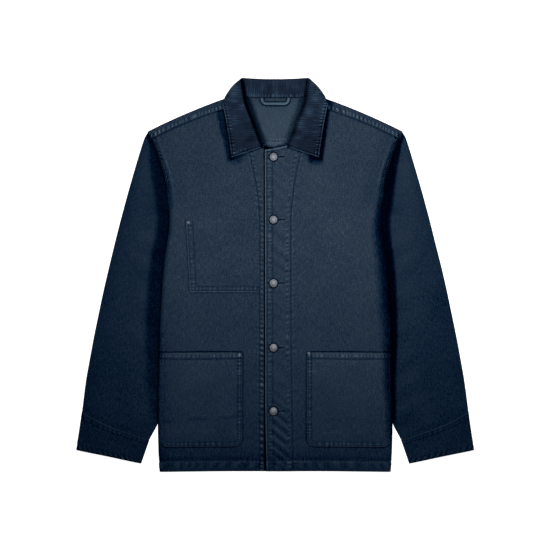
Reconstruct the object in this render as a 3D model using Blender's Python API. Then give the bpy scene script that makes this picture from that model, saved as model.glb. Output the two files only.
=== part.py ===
"""A chore jacket laid flat with its front up and both sides turned under along a fold.

X runs across the jacket to the wearer's left, Y from the hem to the collar, Z up from the
surface that it lies on. Lengths are in millimetres here and become metres in `add`.
Both halves share their shapes, so most functions work on one half: there `a` is the distance
from the centre line, and `side` is +1 for the wearer's left and -1 for the right.
"""

import bpy
import numpy as np

MM = 0.001

# Cloth, and the air that is left between two layers
CANVAS = 1.1
GAP = 0.5
PITCH = CANVAS + GAP
SEAM = 0.4
CORDUROY = 1.8
CUFF_WALL = 1.4
FACING = 1.0
SEAT = 0.3  # clearance under a piece that lies on another

# The panels meet the floor only in the middle: what lies below lifts them, over this slope
SLOPE = 80.0
TWO_LAYERS = 2 * PITCH
FOLD_LOFT = 3.4  # how far the side folds spring up past the thickness of their layers
LOFT_SLOPE = 110.0
LOFT_INSET = 12.0
OUTER_FOLD = (TWO_LAYERS + PITCH + FOLD_LOFT) / 2
INNER_FOLD = OUTER_FOLD - PITCH
SLEEVE_BULGE = 9.0  # how far the sleeve's inner edge runs past the straight line along it

HEM = -382.7
TOP = 382.7
OVERLAP = 20.5  # how far each front runs past the centre line
OVERLAP_STEP = (22.5, 24.0)  # where the upper front starts down past the lower one, and over what width
FIRST_COLUMN = 24.0
EDGE_STRIP = 6.0  # width of the fine columns along an armhole

# The body from hem to shoulder: height, half width at the outer face of the side fold, and
# how many degrees of the fold the cloth makes before the armhole cuts it off
BODY_ROWS = (
    # y, half_width, turn
    (HEM, 224.8, 180.0),
    (-340.0, 227.2, 180.0),
    (-291.0, 228.2, 180.0),
    (-222.0, 227.6, 180.0),
    (-153.0, 226.3, 180.0),
    (-49.0, 221.8, 180.0),
    (0.0, 218.8, 180.0),
    (35.0, 215.6, 180.0),
    (67.5, 210.5, 180.0),
    (92.0, 206.8, 180.0),
    (108.5, 206.1, 180.0),
    (113.0, 206.0, 180.0),
    (118.0, 206.1, 145.0),
    (125.0, 206.5, 86.0),
    (137.0, 207.4, 0.0),
    (160.0, 209.6, 0.0),
    (183.0, 213.4, 0.0),
    (207.0, 219.4, 0.0),
)
FLAT_FROM = 137.0  # above this the side is an armhole edge, not a fold

ARMPIT = (120.0, 67.5)
FOLD_TOP = (205.0, 115.0)
SIDE_SEAM_HEM = 164.0

ARMHOLE = (
    # y, a
    (207.0, 219.4),
    (230.8, 227.8),
    (249.3, 237.6),
    (263.0, 243.2),
    (274.7, 246.8),
)

NECKLINE = (
    # a, y
    (-OVERLAP, 242.5),
    (FIRST_COLUMN, 251.5),
    (44.0, 263.0),
    (62.0, 288.0),
    (80.0, 327.0),
)
BACK_NECKLINE = (
    # a, y
    (0.0, 343.4),
    (FIRST_COLUMN, 343.4),
    (44.0, 344.0),
    (62.0, 345.6),
    (76.0, 349.4),
)

# Straight lines across the shoulder: height at the centre line and fall for each millimetre out
SHOULDER_FOLD = (382.2, 0.4148)
SHOULDER_SEAM = (358.4, 0.3919)
WRAP_SPAN = (77.0, 244.6)  # the wrap's length along the fold, and along the seam
WRAP_SEAM_SPAN = (80.4, 242.0)
WRAP_LEG = 6.0
WRAP_WALL = 0.8

# Where the main columns of a panel lie between its first column and its side
MAIN = np.array((0.12, 0.25, 0.38, 0.50, 0.62, 0.74, 0.87, 1.0))
TURN_STEPS = 4
STRIP_STEPS = 2

# The sleeve, from its armhole to the seam of the cuff
SLEEVE_OUTER = (
    # y, a
    (279.6, 248.2),
    (185.0, 275.5),
    (87.1, 305.2),
    (-49.4, 338.4),
    (-165.0, 360.4),
    (-270.2, 373.4),
)
SLEEVE_GAP = 0.7
SLEEVE_SEWN_Y = (279.0, 263.0, 249.3, 230.8, 207.0, 183.0, 160.0, 137.0)
SLEEVE_HIDDEN = (
    # a, y: on under the fold to the armpit
    (206.4, 115.0),
    (162.6, 91.0),
    (120.3, 67.0),
)
SLEEVE_COLUMNS = len(SLEEVE_SEWN_Y) + len(SLEEVE_HIDDEN)
SLEEVE_INNER = (
    # a, y
    (120.3, 67.0),
    (174.8, -110.6),
    (229.3, -288.3),
    (246.4, -321.6),
)
CUFF_SEAM = (
    # a, y
    (373.6, -271.0),
    (323.0, -295.0),
    (246.6, -322.4),
)
CUFF_HEM = (
    # a, y
    (384.4, -340.0),
    (262.3, -367.2),
)
ATTACH_LOW = 118.0  # the upper wall of the sleeve rises with the armhole above this height
ATTACH_BLEND = 30.0
ATTACH_REACH = 45.0
SLEEVE_LOFT = 3.4  # how far the air in a sleeve lifts the middle of its upper wall
LOFT_WIDTH = 70.0  # a narrower stretch of sleeve is lifted less

# The collar: its roll line, its outer edge and its lower corner, on one half
ROLL = (
    # a, y
    (66.6, TOP),
    (57.4, 343.3),
    (23.4, 248.9),
)
COLLAR_SIDE = (99.8, 341.5)
COLLAR_TIP = (84.2, 228.4)
STAND_FOOT = (
    # a, y: where the front stand is sewn down, outside the neckline
    (79.5, 350.5),
    (83.0, 327.0),
    (65.0, 286.0),
    (47.0, 260.5),
    (30.0, 246.0),
)
CREASE_SPAN = (0.08, 0.95)  # the part of the side crease that the turned cloth takes
CREASE_LEGS = (7.0, 9.0)  # how far it runs on above and below
CREASE_WALL = 1.4
WING_INSET = 4.5
BACK_FALL_EDGE = 329.0
BACK_FALL = (
    # y, half_width
    (366.0, 73.0),
    (344.0, 91.0),
    (BACK_FALL_EDGE, 93.0),
)
BACK_STAND = (362.0, 69.5)
BACK_ROLL_HALF = 65.4
STAND_HALF = 73.5
COLLAR_LIFT = CORDUROY + GAP
COLLAR_REST = 102.0

# Pockets: the edge nearest the centre line, the outer edge, the foot and the mouth
POCKET_GAP = 0.7
HIP_INNER = 61.8
HIP_FOOT = -335.0
HIP_MOUTH = -150.5
HIP_CORNER = 17.0
HIP_INSET = 3.5  # from the outer face of the side fold
CHEST_INNER = 30.8
CHEST_OUTER = 173.0
CHEST_FOOT = -34.0
CHEST_MOUTH = 104.5
CHEST_CORNER = 2.0
POCKET_COLUMNS = 9

FACING_ROWS = (
    # y, half_width
    (266.0, 20.0),
    (269.0, 38.0),
    (286.0, 55.0),
    (306.0, 65.0),
    (326.0, 73.0),
    (342.8, 71.5),
)

LOOP_HALF = 26.0
LOOP_DROP = 329.0
LOOP_ROOT = 343.5
LOOP_CORNER = 9.0
LOOP_WIDTH = 5.2
LOOP_HEIGHT = 2.2
LOOP_GAP = 0.4
LOOP_SPREAD = 1.5  # the loop's ends stand this much wider than its sides

BUTTON_X = -3.3
BUTTON_Y = (229.4, 107.0, -16.7, -142.3, -265.9)
BUTTON_R = 8.4
BUTTON_CAP = (
    # share of the radius, height above the cloth
    (0.93, 0.0),
    (1.0, 0.9),
    (0.92, 2.0),
    (0.62, 2.9),
    (0.25, 3.3),
)
SHANK_R = 1.9
HOLE_R = 2.6
SLOT_LENGTH = 20.0
SLOT_WIDTH = 1.8

RIVET_R = 3.4
RIVET_HEIGHT = 1.3
RIVETS = (
    # name, x, y
    ("rivet_chest", -168.8, 100.9),
    ("rivet_hip_right", -69.9, -156.6),
    ("rivet_hip_left", 65.9, -153.2),
)

NAVY = (0.016, 0.033, 0.062)
NAVY_INSIDE = (0.036, 0.062, 0.090)
NAVY_CORD = (0.010, 0.018, 0.036)
PEWTER = (0.33, 0.33, 0.33)


def finish(name, colour, roughness, metallic=0.0):
    """A plain material."""
    material = bpy.data.materials.new(name)
    material.use_nodes = True
    shader = material.node_tree.nodes["Principled BSDF"]
    shader.inputs["Base Color"].default_value = (*colour, 1.0)
    shader.inputs["Roughness"].default_value = roughness
    shader.inputs["Metallic"].default_value = metallic
    return material


def add(name, points, faces, material):
    """One object from points in millimetres, with its faces turned outwards."""
    points = np.asarray(points, float)
    corners = [(f[0], f[i], f[i + 1]) for f in faces for i in range(1, len(f) - 1)]
    if np.linalg.det(points[np.array(corners)]).sum() < 0:
        faces = [tuple(reversed(f)) for f in faces]
    mesh = bpy.data.meshes.new(name)
    mesh.from_pydata((points * MM).tolist(), [], faces)
    mesh.materials.append(material)
    mesh.shade_smooth()
    mesh.set_sharp_from_angle(angle=np.radians(40))
    obj = bpy.data.objects.new(name, mesh)
    bpy.context.scene.collection.objects.link(obj)
    return obj


def join(obj, others, operation="UNION"):
    """Boolean modifiers that add the other objects to this one, or cut them out of it."""
    for other in others:
        other.hide_render = True
        other.display_type = "WIRE"
        modifier = obj.modifiers.new(other.name, "BOOLEAN")
        modifier.operation = operation
        modifier.object = other


def ramp(t):
    """0 up to t = 0, 1 from t = 1, with a level start and end."""
    t = np.clip(t, 0.0, 1.0)
    return t * t * (3 - 2 * t)


def column(table, index):
    return np.array([row[index] for row in table])


def along(table, count):
    """`count` points spaced evenly by length along the line through a table of points."""
    points = np.array(table, float)
    run = np.concatenate([[0], np.cumsum(np.linalg.norm(np.diff(points, axis=0), axis=1))])
    where = np.linspace(0, run[-1], count)
    return np.stack([np.interp(where, run, points[:, i]) for i in range(2)], axis=1)


def beyond(a, y, start, end):
    """Distance of (a, y) from the line start-end, positive on its left."""
    (a0, y0), (a1, y1) = start, end
    length = np.hypot(a1 - a0, y1 - y0)
    return ((a1 - a0) * (y - y0) - (y1 - y0) * (a - a0)) / length


def half_width(y):
    """Half width of the body from its hem to its shoulder, at its side fold and then its armhole."""
    table = [(row[0], row[1]) for row in BODY_ROWS] + list(ARMHOLE[1:])
    return np.interp(y, column(table, 0), column(table, 1))


def side_seam(y):
    return np.interp(y, (HEM, ARMPIT[1]), (SIDE_SEAM_HEM, ARMPIT[0]))


def cover(distance, width=SLOPE):
    """1 where something lies below, falling to 0 over `width` past its edge."""
    return 1 - ramp(distance / width)


def sleeve_lift(a, y):
    """How far cloth is raised by the sleeve below it."""
    inside_edge = -beyond(a, y, ARMPIT, CUFF_HEM[1]) - SLEEVE_BULGE
    above = -beyond(a, y, FOLD_TOP, ARMPIT)
    return TWO_LAYERS * cover(inside_edge) * cover(above)


def collar_lift(a, y):
    return COLLAR_LIFT * cover(a - COLLAR_REST) * cover(BACK_FALL_EDGE - y)


def body_lift(a, y):
    """How far the back panel is raised by the sleeve, the turned-under side, its spring and the collar."""
    a = np.abs(a)
    strip = TWO_LAYERS * cover(side_seam(y) - a)
    spring = FOLD_LOFT * cover(half_width(y) - LOFT_INSET - a, LOFT_SLOPE)
    above = -beyond(a, y, FOLD_TOP, ARMPIT)
    return sleeve_lift(a, y) + (strip + spring) * cover(above) + collar_lift(a, y)


def back_level(a, y):
    return body_lift(a, y) + CANVAS / 2


def front_level(a, y, side):
    """Middle of the front panel's wall: the wearer's left front also lies on the right one."""
    level = back_level(a, y) + PITCH
    if side > 0:
        start, width = OVERLAP_STEP
        level = level + PITCH * cover(a - start, width)
    return level


def wall(grid, thickness):
    """A closed wall of even thickness about a grid of points (rows, columns, 3).

    Its faces are triangles cut along one diagonal, so that layers above each other match.
    """
    rows, columns = grid.shape[:2]
    normal = np.cross(np.gradient(grid, axis=1), np.gradient(grid, axis=0))
    normal /= np.linalg.norm(normal, axis=2, keepdims=True)
    half = normal * thickness / 2
    points = np.concatenate([(grid + half).reshape(-1, 3), (grid - half).reshape(-1, 3)])
    index = np.arange(rows * columns).reshape(rows, columns)
    corners = (index[:-1, :-1], index[:-1, 1:], index[1:, 1:], index[1:, :-1])
    a, b, c, d = (corner.ravel() for corner in corners)
    top = np.concatenate([np.stack([a, b, c], axis=1), np.stack([a, c, d], axis=1)])
    rim = np.concatenate([index[0, :-1], index[:-1, -1], index[-1, :0:-1], index[:0:-1, 0]])
    after = np.roll(rim, -1)
    other = rows * columns
    edge = np.stack([after, rim, rim + other, after + other], axis=1)
    return points, [*top.tolist(), *(top[:, ::-1] + other).tolist(), *edge.tolist()]


def coons(bottom, top, left, right):
    """Grid of points between four edges: the two ruled surfaces less the one of the corners."""
    u = (bottom[:, 0] - bottom[0, 0]) / (bottom[-1, 0] - bottom[0, 0])
    u = u[None, :, None]
    w = np.linspace(0, 1, len(left))[:, None, None]
    rows = (1 - w) * bottom[None] + w * top[None]
    columns = (1 - u) * left[:, None] + u * right[:, None]
    corners = (1 - w) * ((1 - u) * bottom[0] + u * bottom[-1]) + w * ((1 - u) * top[0] + u * top[-1])
    return rows + columns - corners


def panel_columns(start, fold, turned, reach):
    """Distances along a panel's section: main columns, then the fold's, then the strip's."""
    turned = min(turned, reach - EDGE_STRIP / 2)
    main = FIRST_COLUMN + MAIN * (fold - FIRST_COLUMN)
    turn = np.linspace(fold, turned, TURN_STEPS + 1)[1:]
    strip = np.linspace(turned, reach, STRIP_STEPS + 1)[1:]
    return np.concatenate([[start, FIRST_COLUMN], main, turn, strip])


def section(y, width, turn, start, radius, top_level, strip_level):
    """One row of a panel: level out to the fold, round it, and back in to the side seam.

    The fold is a half circle of the given radius. Front and back share its centre, and their
    columns lie at the same angles, so lengths are counted along the outer one.
    """
    centre = width - OUTER_FOLD - CANVAS / 2
    strip_end = max(side_seam(y), np.interp(y, (ARMPIT[1], FOLD_TOP[1]), (ARMPIT[0], FOLD_TOP[0])))
    if y >= FLAT_FROM:
        centre, fold, reach = width, width - EDGE_STRIP, width
    elif centre - strip_end < EDGE_STRIP:
        fold = centre - EDGE_STRIP * (1 - turn / 180)
        reach = centre + OUTER_FOLD * np.radians(turn)
    else:
        fold, reach = centre, centre + OUTER_FOLD * np.pi + centre - strip_end
    length = panel_columns(start, fold, centre + OUTER_FOLD * np.pi, reach)
    angle = np.clip((length - centre) / OUTER_FOLD, 0.0, np.pi)
    past = np.maximum(length - centre - OUTER_FOLD * np.pi, 0.0)
    a = np.minimum(length, centre) + radius * np.sin(angle) - past
    level_at_fold = top_level(centre, y) - radius
    z = np.where(angle <= 0, top_level(a, y), level_at_fold + radius * np.cos(angle))
    z = np.where(past > 0, strip_level(a, y), z)
    return np.stack([a, np.full_like(a, y), z], axis=1)


def upper_rows(bottom, neckline, shoulder, count, top_level):
    """Rows from the last level one up to the neckline and the shoulder."""
    main = len(MAIN) + 2
    height, fall = shoulder
    end_y = height - fall * ARMHOLE[-2][1]
    right_y = np.linspace(bottom[-1, 1], height - fall * half_width(end_y), count + 1)
    right = np.stack([half_width(right_y) - EDGE_STRIP, right_y], axis=1)
    neck = np.array(neckline)
    shoulder_a = np.linspace(neck[-1, 0], right[-1, 0], main - len(neck) + 1)[1:]
    top = np.concatenate([neck, np.stack([shoulder_a, height - fall * shoulder_a], axis=1)])
    right[-1] = top[-1]
    left = np.linspace(bottom[0, :2], top[0], count + 1)
    patch = coons(bottom[:main, :2], top, left, right)[1:]
    share = np.concatenate(
        [np.linspace(0, 0.5, TURN_STEPS + 1)[1:], np.linspace(0.5, 1, STRIP_STEPS + 1)[1:]]
    )
    edge = patch[:, -1:, :] + share[None, :, None] * np.array([EDGE_STRIP, 0.0])
    edge[-1, :, 1] = height - fall * edge[-1, :, 0]
    plan = np.concatenate([patch, edge], axis=1)
    z = top_level(plan[..., 0], plan[..., 1])
    return np.concatenate([plan, z[..., None]], axis=2)


def mirrored(grid, side):
    """The grid on its own side, with its columns always running towards +X."""
    if side > 0:
        return grid
    return grid[:, ::-1] * np.array([-1.0, 1.0, 1.0])


def front_panel(side):
    """Grid of a front: its side wraps outside the back's fold and ends at the side seam."""

    def top_level(a, y):
        return front_level(a, y, side)

    def strip_level(a, y):
        return sleeve_lift(a, y) + CANVAS / 2

    lower = [section(*row, -OVERLAP, OUTER_FOLD, top_level, strip_level) for row in BODY_ROWS]
    upper = upper_rows(lower[-1], NECKLINE, SHOULDER_SEAM, 4, top_level)
    return mirrored(np.concatenate([np.array(lower), upper]), side)


def back_half():
    """Grid of half the back: its side wraps inside the front's fold."""

    def strip_level(a, y):
        return sleeve_lift(a, y) + PITCH + CANVAS / 2

    lower = [section(*row, 0.0, INNER_FOLD, back_level, strip_level) for row in BODY_ROWS]
    height, fall = SHOULDER_FOLD
    upper = upper_rows(lower[-1], BACK_NECKLINE, (height - PITCH, fall), 5, back_level)
    return np.concatenate([np.array(lower), upper])


def shoulder_wrap(side):
    """The back's top edge: up over the shoulder and down the front to the forward seam."""
    height, fall = SHOULDER_FOLD
    outward = np.array([fall, 1.0]) / np.hypot(fall, 1.0)
    radius = PITCH / 2
    a = np.linspace(*WRAP_SPAN, 7)
    fold = np.stack([a, height - fall * a], axis=1) - outward * (radius + CANVAS / 2)
    seam_a = np.linspace(*WRAP_SEAM_SPAN, 7)
    seam = np.stack([seam_a, SHOULDER_SEAM[0] + SEAM - SHOULDER_SEAM[1] * seam_a], axis=1)
    level = back_level(fold[:, 0], fold[:, 1])
    columns = [np.column_stack([fold - outward * WRAP_LEG, level])]
    for angle in np.linspace(0, np.pi, 5):
        plan = fold + outward * radius * np.sin(angle)
        columns.append(np.column_stack([plan, level + radius * (1 - np.cos(angle))]))
    for share in (0.5, 1.0):
        plan = fold + (seam - fold) * share
        columns.append(np.column_stack([plan, back_level(plan[:, 0], plan[:, 1]) + PITCH]))
    return wall(mirrored(np.stack(columns, axis=1), side), WRAP_WALL)


def sleeve_rows(top, bottom, outer, inner, count):
    """Plan of a sleeve or cuff, from its outer edge to its inner edge in each row."""
    plan = []
    for w in np.linspace(0, 1, count):
        ruled = (1 - w) * top + w * bottom
        start = np.array([np.interp(w, np.linspace(0, 1, len(outer)), outer[:, i]) for i in range(2)])
        end = np.array([np.interp(w, np.linspace(0, 1, len(inner)), inner[:, i]) for i in range(2)])
        u = np.linspace(0, 1, len(top))[:, None]
        plan.append(ruled + (1 - u) * (start - ruled[0]) + u * (end - ruled[-1]))
    return np.array(plan)


def sleeve_hump(a, y):
    """Lift of the upper wall between the body's side, or the sleeve's inner edge, and its outer edge."""
    outer = np.interp(y, column(SLEEVE_OUTER, 0)[::-1], column(SLEEVE_OUTER, 1)[::-1])
    inner = [SLEEVE_INNER[-2], SLEEVE_INNER[-1], CUFF_HEM[-1]]
    start = np.maximum(half_width(y), np.interp(y, column(inner, 1)[::-1], column(inner, 0)[::-1]))
    across = np.clip((a - start) / (outer - start), 0.0, 1.0)
    return SLEEVE_LOFT * np.sin(np.pi * across) * ramp((outer - start) / LOFT_WIDTH)


def flat_tube(plan, thickness, lift, side):
    """A tube pressed flat: the upper wall runs in to out, round the outer crease, and back below."""
    radius = (thickness + GAP) / 2
    outward = plan[:, 0] - plan[:, 1]
    outward /= np.linalg.norm(outward, axis=1, keepdims=True)
    plan = plan.copy()
    plan[:, 0] -= outward * (radius + thickness / 2)
    low = thickness / 2
    upper = np.concatenate([plan, (low + 2 * radius + lift)[..., None]], axis=2)[:, ::-1]
    turn = []
    for angle in np.linspace(np.pi / 2, -np.pi / 2, 5)[1:-1]:
        bulge = plan[:, 0] + outward * radius * np.cos(angle)
        turn.append(np.column_stack([bulge, low + radius * (1 + np.sin(angle)) + lift[:, 0] * 0]))
    lower = np.concatenate([plan, np.full((*plan.shape[:2], 1), low)], axis=2)
    grid = np.concatenate([upper, np.array(turn).transpose(1, 0, 2), lower], axis=1)
    return wall(mirrored(grid, side), thickness)


def sleeve(side):
    sewn = [(half_width(y) + SLEEVE_GAP, y) for y in SLEEVE_SEWN_Y]
    top = np.array([*sewn, *SLEEVE_HIDDEN])
    bottom = along(CUFF_SEAM, SLEEVE_COLUMNS) + np.array([0.0, 2 * SEAM])
    outer = along([(a, y) for y, a in SLEEVE_OUTER], 9)
    inner = along(SLEEVE_INNER, 9)
    plan = sleeve_rows(top, bottom, outer, inner, 9)
    a, y = plan[..., 0], plan[..., 1]
    edge_y = np.clip(y, FLAT_FROM, SLEEVE_SEWN_Y[0])
    edge_a = half_width(edge_y)
    held = body_lift(edge_a, edge_y) * ramp((y - ATTACH_LOW) / ATTACH_BLEND)
    lift = held * cover(a - edge_a, ATTACH_REACH) + sleeve_hump(a, y)
    return flat_tube(plan, CANVAS, lift, side)


def cuff(side):
    top = along(CUFF_SEAM, SLEEVE_COLUMNS)
    bottom = along(CUFF_HEM, SLEEVE_COLUMNS)
    edges = [np.array([top[i], bottom[i]]) for i in (0, -1)]
    plan = sleeve_rows(top, bottom, edges[0], edges[1], 4)
    return flat_tube(plan, CUFF_WALL, sleeve_hump(plan[..., 0], plan[..., 1]), side)


def stand_level(a, y, side):
    return front_level(a, y, side) + CANVAS / 2 + SEAT + CORDUROY / 2


def fall_level(a, y, u, side):
    """The fall lies over the stand near the roll, and on the front panel farther out."""
    on_front = front_level(a, y, side) + CANVAS / 2 + GAP + CORDUROY / 2
    return on_front + (CORDUROY + GAP - 0.1) * (1 - ramp((u - 0.5) / 0.5))


def crease():
    """The collar's side crease: its two ends and the direction that it faces."""
    start, end = np.array(ROLL[0]), np.array(COLLAR_SIDE)
    run = (end - start) / np.linalg.norm(end - start)
    return start, end, np.array([-run[1], run[0]])


def collar_wing(side):
    """Stand, roll and fall of one side of the collar, from the crease to the front corner."""
    count = 8
    start, end, outward = crease()
    inset = outward * WING_INSET
    roll = along([start - inset, *ROLL[1:]], count)
    edge = along([end - inset, COLLAR_TIP], count)
    foot = along(STAND_FOOT, count)
    rows = []
    for r, f, n in zip(roll, edge, foot):
        inward = (r - f) / np.linalg.norm(r - f)
        low = stand_level(r[0], r[1], side)
        high = fall_level(r[0], r[1], 0.0, side)
        radius = (high - low) / 2
        hub = r - inward * (radius + CORDUROY / 2)
        row = []
        for u in (1.0, 0.5):
            plan = hub + (n - hub) * u
            row.append([*plan, stand_level(plan[0], plan[1], side)])
        for angle in np.linspace(-np.pi / 2, np.pi / 2, 5):
            plan = hub + inward * radius * np.cos(angle)
            row.append([*plan, (low + high) / 2 + radius * np.sin(angle)])
        for u in (0.2, 0.4, 0.6, 0.8, 1.0):
            plan = hub + (f - hub) * u
            row.append([*plan, fall_level(plan[0], plan[1], u, side)])
        rows.append(row)
    return wall(mirrored(np.array(rows), side), CORDUROY)


def collar_crease(side):
    """The fall where it turns from the front of the neck to the back, round the side crease."""
    start, end, outward = crease()
    rows = []
    for u in np.linspace(*CREASE_SPAN, 6):
        line = start + (end - start) * u
        top = fall_level(line[0], line[1], u, side)
        low = CORDUROY / 2
        radius = (top - low) / 2
        hub = line - outward * (radius + CORDUROY / 2)
        row = [[*(hub - outward * CREASE_LEGS[0]), top]]
        for angle in np.linspace(np.pi / 2, -np.pi / 2, 6):
            row.append([*(hub + outward * radius * np.cos(angle)), low + radius * (1 + np.sin(angle))])
        row.append([*(hub - outward * CREASE_LEGS[1]), low])
        rows.append(row)
    return wall(mirrored(np.array(rows), side), CREASE_WALL)


def collar_back():
    """The stand inside the neck, over the roll at the top, and the fall below it."""
    stand = COLLAR_LIFT + CORDUROY / 2
    fall = CORDUROY / 2
    radius = (stand - fall) / 2
    hub = TOP - radius - CORDUROY / 2
    profile = [(*BACK_STAND, stand)]
    for angle in np.linspace(np.pi / 2, -np.pi / 2, 5):
        y = hub + radius * np.cos(angle)
        profile.append((y, BACK_ROLL_HALF, fall + radius * (1 + np.sin(angle))))
    profile += [(y, half, fall) for y, half in BACK_FALL]
    across = np.linspace(-1, 1, 13)
    grid = np.array([[(half * s, y, z) for s in across] for y, half, z in profile])
    foot_a = STAND_HALF * across
    foot_y = np.interp(np.abs(foot_a), column(BACK_NECKLINE, 0), column(BACK_NECKLINE, 1)) + SEAM
    foot = np.stack([foot_a, foot_y, np.full_like(foot_a, stand)], axis=1)
    return wall(np.concatenate([foot[None], grid]), CORDUROY)


def patch_pocket(side, inner, foot, mouth, corner, outer_edge):
    """A patch that follows the front panel, with its lower corners rounded."""
    bend = corner * (1 - np.cos(np.radians((0, 30, 60, 90))))
    ys = np.concatenate([foot + bend, np.linspace(foot + corner, mouth, 9)[1:]])
    inset = corner * (1 - np.sqrt(np.clip(1 - ((foot + corner - ys) / corner) ** 2, 0, 1)))
    inset = np.where(ys < foot + corner, inset, 0.0)
    rows = []
    for y, cut in zip(ys, inset):
        a = np.linspace(inner + cut, outer_edge(y) - cut, POCKET_COLUMNS)
        z = front_level(a, y, side) + CANVAS + POCKET_GAP
        rows.append(np.stack([a, np.full_like(a, y), z], axis=1))
    return wall(mirrored(np.array(rows), side), CANVAS)


def fold_edge(y):
    return half_width(y) - HIP_INSET


def neck_facing():
    """Half moon on the inside of the back, below the neck seam."""
    across = np.linspace(-1, 1, 9)
    rows = []
    for y, half in FACING_ROWS:
        x = half * across
        z = back_level(x, y) + CANVAS / 2 + GAP + FACING / 2
        rows.append(np.stack([x, np.full_like(x, y), z], axis=1))
    return wall(np.array(rows), FACING)


def hanger_loop():
    """A flattened tube carried along a rounded U that hangs from the neck seam."""
    turn = np.radians(np.linspace(0, 90, 5))
    corner = LOOP_CORNER * np.stack([1 - np.cos(turn), 1 - np.sin(turn)], axis=1)
    left = corner + np.array([-LOOP_HALF, LOOP_DROP])
    half = np.concatenate([[[-LOOP_HALF - LOOP_SPREAD, LOOP_ROOT]], left])
    path = np.concatenate([half, half[::-1] * np.array([-1.0, 1.0])])
    run = np.gradient(path, axis=0)
    run /= np.linalg.norm(run, axis=1, keepdims=True)
    across = np.stack([run[:, 1], -run[:, 0]], axis=1)
    below = back_level(path[:, 0], path[:, 1]) + CANVAS / 2 + GAP + FACING
    level = below + LOOP_GAP + LOOP_HEIGHT / 2
    angle = np.linspace(0, 2 * np.pi, 8, endpoint=False)
    plan = path[:, None] + across[:, None] * (LOOP_WIDTH / 2 * np.cos(angle))[None, :, None]
    z = level[:, None] + LOOP_HEIGHT / 2 * np.sin(angle)[None]
    return tube_faces(np.concatenate([plan, z[..., None]], axis=2))


def tube_faces(rings):
    """Points and faces of a closed tube through rings of points, capped at both ends."""
    count, sides = rings.shape[:2]
    index = np.arange(count * sides).reshape(count, sides)
    after = np.roll(index, -1, axis=1)
    quads = np.stack([index[:-1], after[:-1], after[1:], index[1:]], axis=-1).reshape(-1, 4)
    faces = [tuple(q) for q in quads.tolist()]
    faces += [tuple(index[0, ::-1].tolist()), tuple(index[-1].tolist())]
    return rings.reshape(-1, 3), faces


def turned(profile, x, y, sides):
    """A turned solid: rings of points through a profile of (radius, height)."""
    angle = np.linspace(0, 2 * np.pi, sides, endpoint=False)
    rings = [
        np.stack([x + r * np.cos(angle), y + r * np.sin(angle), np.full(sides, z)], axis=1)
        for r, z in profile
    ]
    return tube_faces(np.array(rings))


def button(y):
    """A domed cap with a rolled rim over a shank that passes through the buttonhole."""
    seat = front_level(-BUTTON_X, y, -1) + CANVAS / 2 + SEAT
    cap = front_level(0.0, y, 1) + CANVAS / 2 + GAP
    profile = [(SHANK_R, seat), (SHANK_R, cap)]
    profile += [(BUTTON_R * share, cap + height) for share, height in BUTTON_CAP]
    return turned(profile, BUTTON_X, y, 20)


def buttonhole_cutter(y):
    """A keyhole: a round eyelet for the shank and a slot that runs to the wearer's left."""
    ring = np.radians(np.linspace(20, 340, 15))
    outline = [(BUTTON_X + HOLE_R * np.cos(t), y + HOLE_R * np.sin(t)) for t in ring]
    end = BUTTON_X + SLOT_LENGTH
    outline += [(end, y - SLOT_WIDTH / 2), (end, y + SLOT_WIDTH / 2)]
    low, high = PITCH + CANVAS + 0.15, 3 * PITCH + CANVAS
    rings = np.array([[(px, py, z) for px, py in outline] for z in (low, high)])
    return tube_faces(rings)


def rivet(x, y):
    side = np.sign(x)
    seat = front_level(abs(x), y, side) + CANVAS + POCKET_GAP + CANVAS / 2 + SEAT
    profile = (
        (RIVET_R, seat),
        (RIVET_R, seat + RIVET_HEIGHT * 0.35),
        (RIVET_R * 0.75, seat + RIVET_HEIGHT * 0.85),
        (RIVET_R * 0.3, seat + RIVET_HEIGHT),
    )
    return turned(profile, x, y, 14)


def build_body(canvas):
    for side, name in ((-1, "front_right"), (1, "front_left")):
        panel = add(name, *wall(front_panel(side), CANVAS), canvas)
        if side > 0:
            holes = [
                add(f"buttonhole_{i}", *buttonhole_cutter(y), canvas)
                for i, y in enumerate(BUTTON_Y, start=1)
            ]
            join(panel, holes, "DIFFERENCE")
    half = back_half()
    whole = np.concatenate([mirrored(half, -1)[:, :-1], half], axis=1)
    back = add("back", *wall(whole, CANVAS), canvas)
    join(back, [add(f"shoulder_{s:+d}", *shoulder_wrap(s), canvas) for s in (-1, 1)])


def build_sleeves(canvas):
    for side, name in ((-1, "right"), (1, "left")):
        add(f"sleeve_{name}", *sleeve(side), canvas)
        add(f"cuff_{name}", *cuff(side), canvas)


def build_collar(cord, inside, canvas):
    collar = add("collar", *collar_back(), cord)
    others = []
    for side in (-1, 1):
        others.append(add(f"crease_{side:+d}", *collar_crease(side), cord))
        others.append(add(f"wing_{side:+d}", *collar_wing(side), cord))
    join(collar, others)
    add("neck_facing", *neck_facing(), inside)
    add("hanger_loop", *hanger_loop(), canvas)


def build_pockets(canvas):
    for side, name in ((-1, "right"), (1, "left")):
        shape = patch_pocket(side, HIP_INNER, HIP_FOOT, HIP_MOUTH, HIP_CORNER, fold_edge)
        add(f"hip_pocket_{name}", *shape, canvas)
    shape = patch_pocket(
        -1, CHEST_INNER, CHEST_FOOT, CHEST_MOUTH, CHEST_CORNER, lambda y: CHEST_OUTER
    )
    add("chest_pocket", *shape, canvas)


def build_metal(metal):
    for i, y in enumerate(BUTTON_Y, start=1):
        add(f"button_{i}", *button(y), metal)
    for name, x, y in RIVETS:
        add(name, *rivet(x, y), metal)


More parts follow.
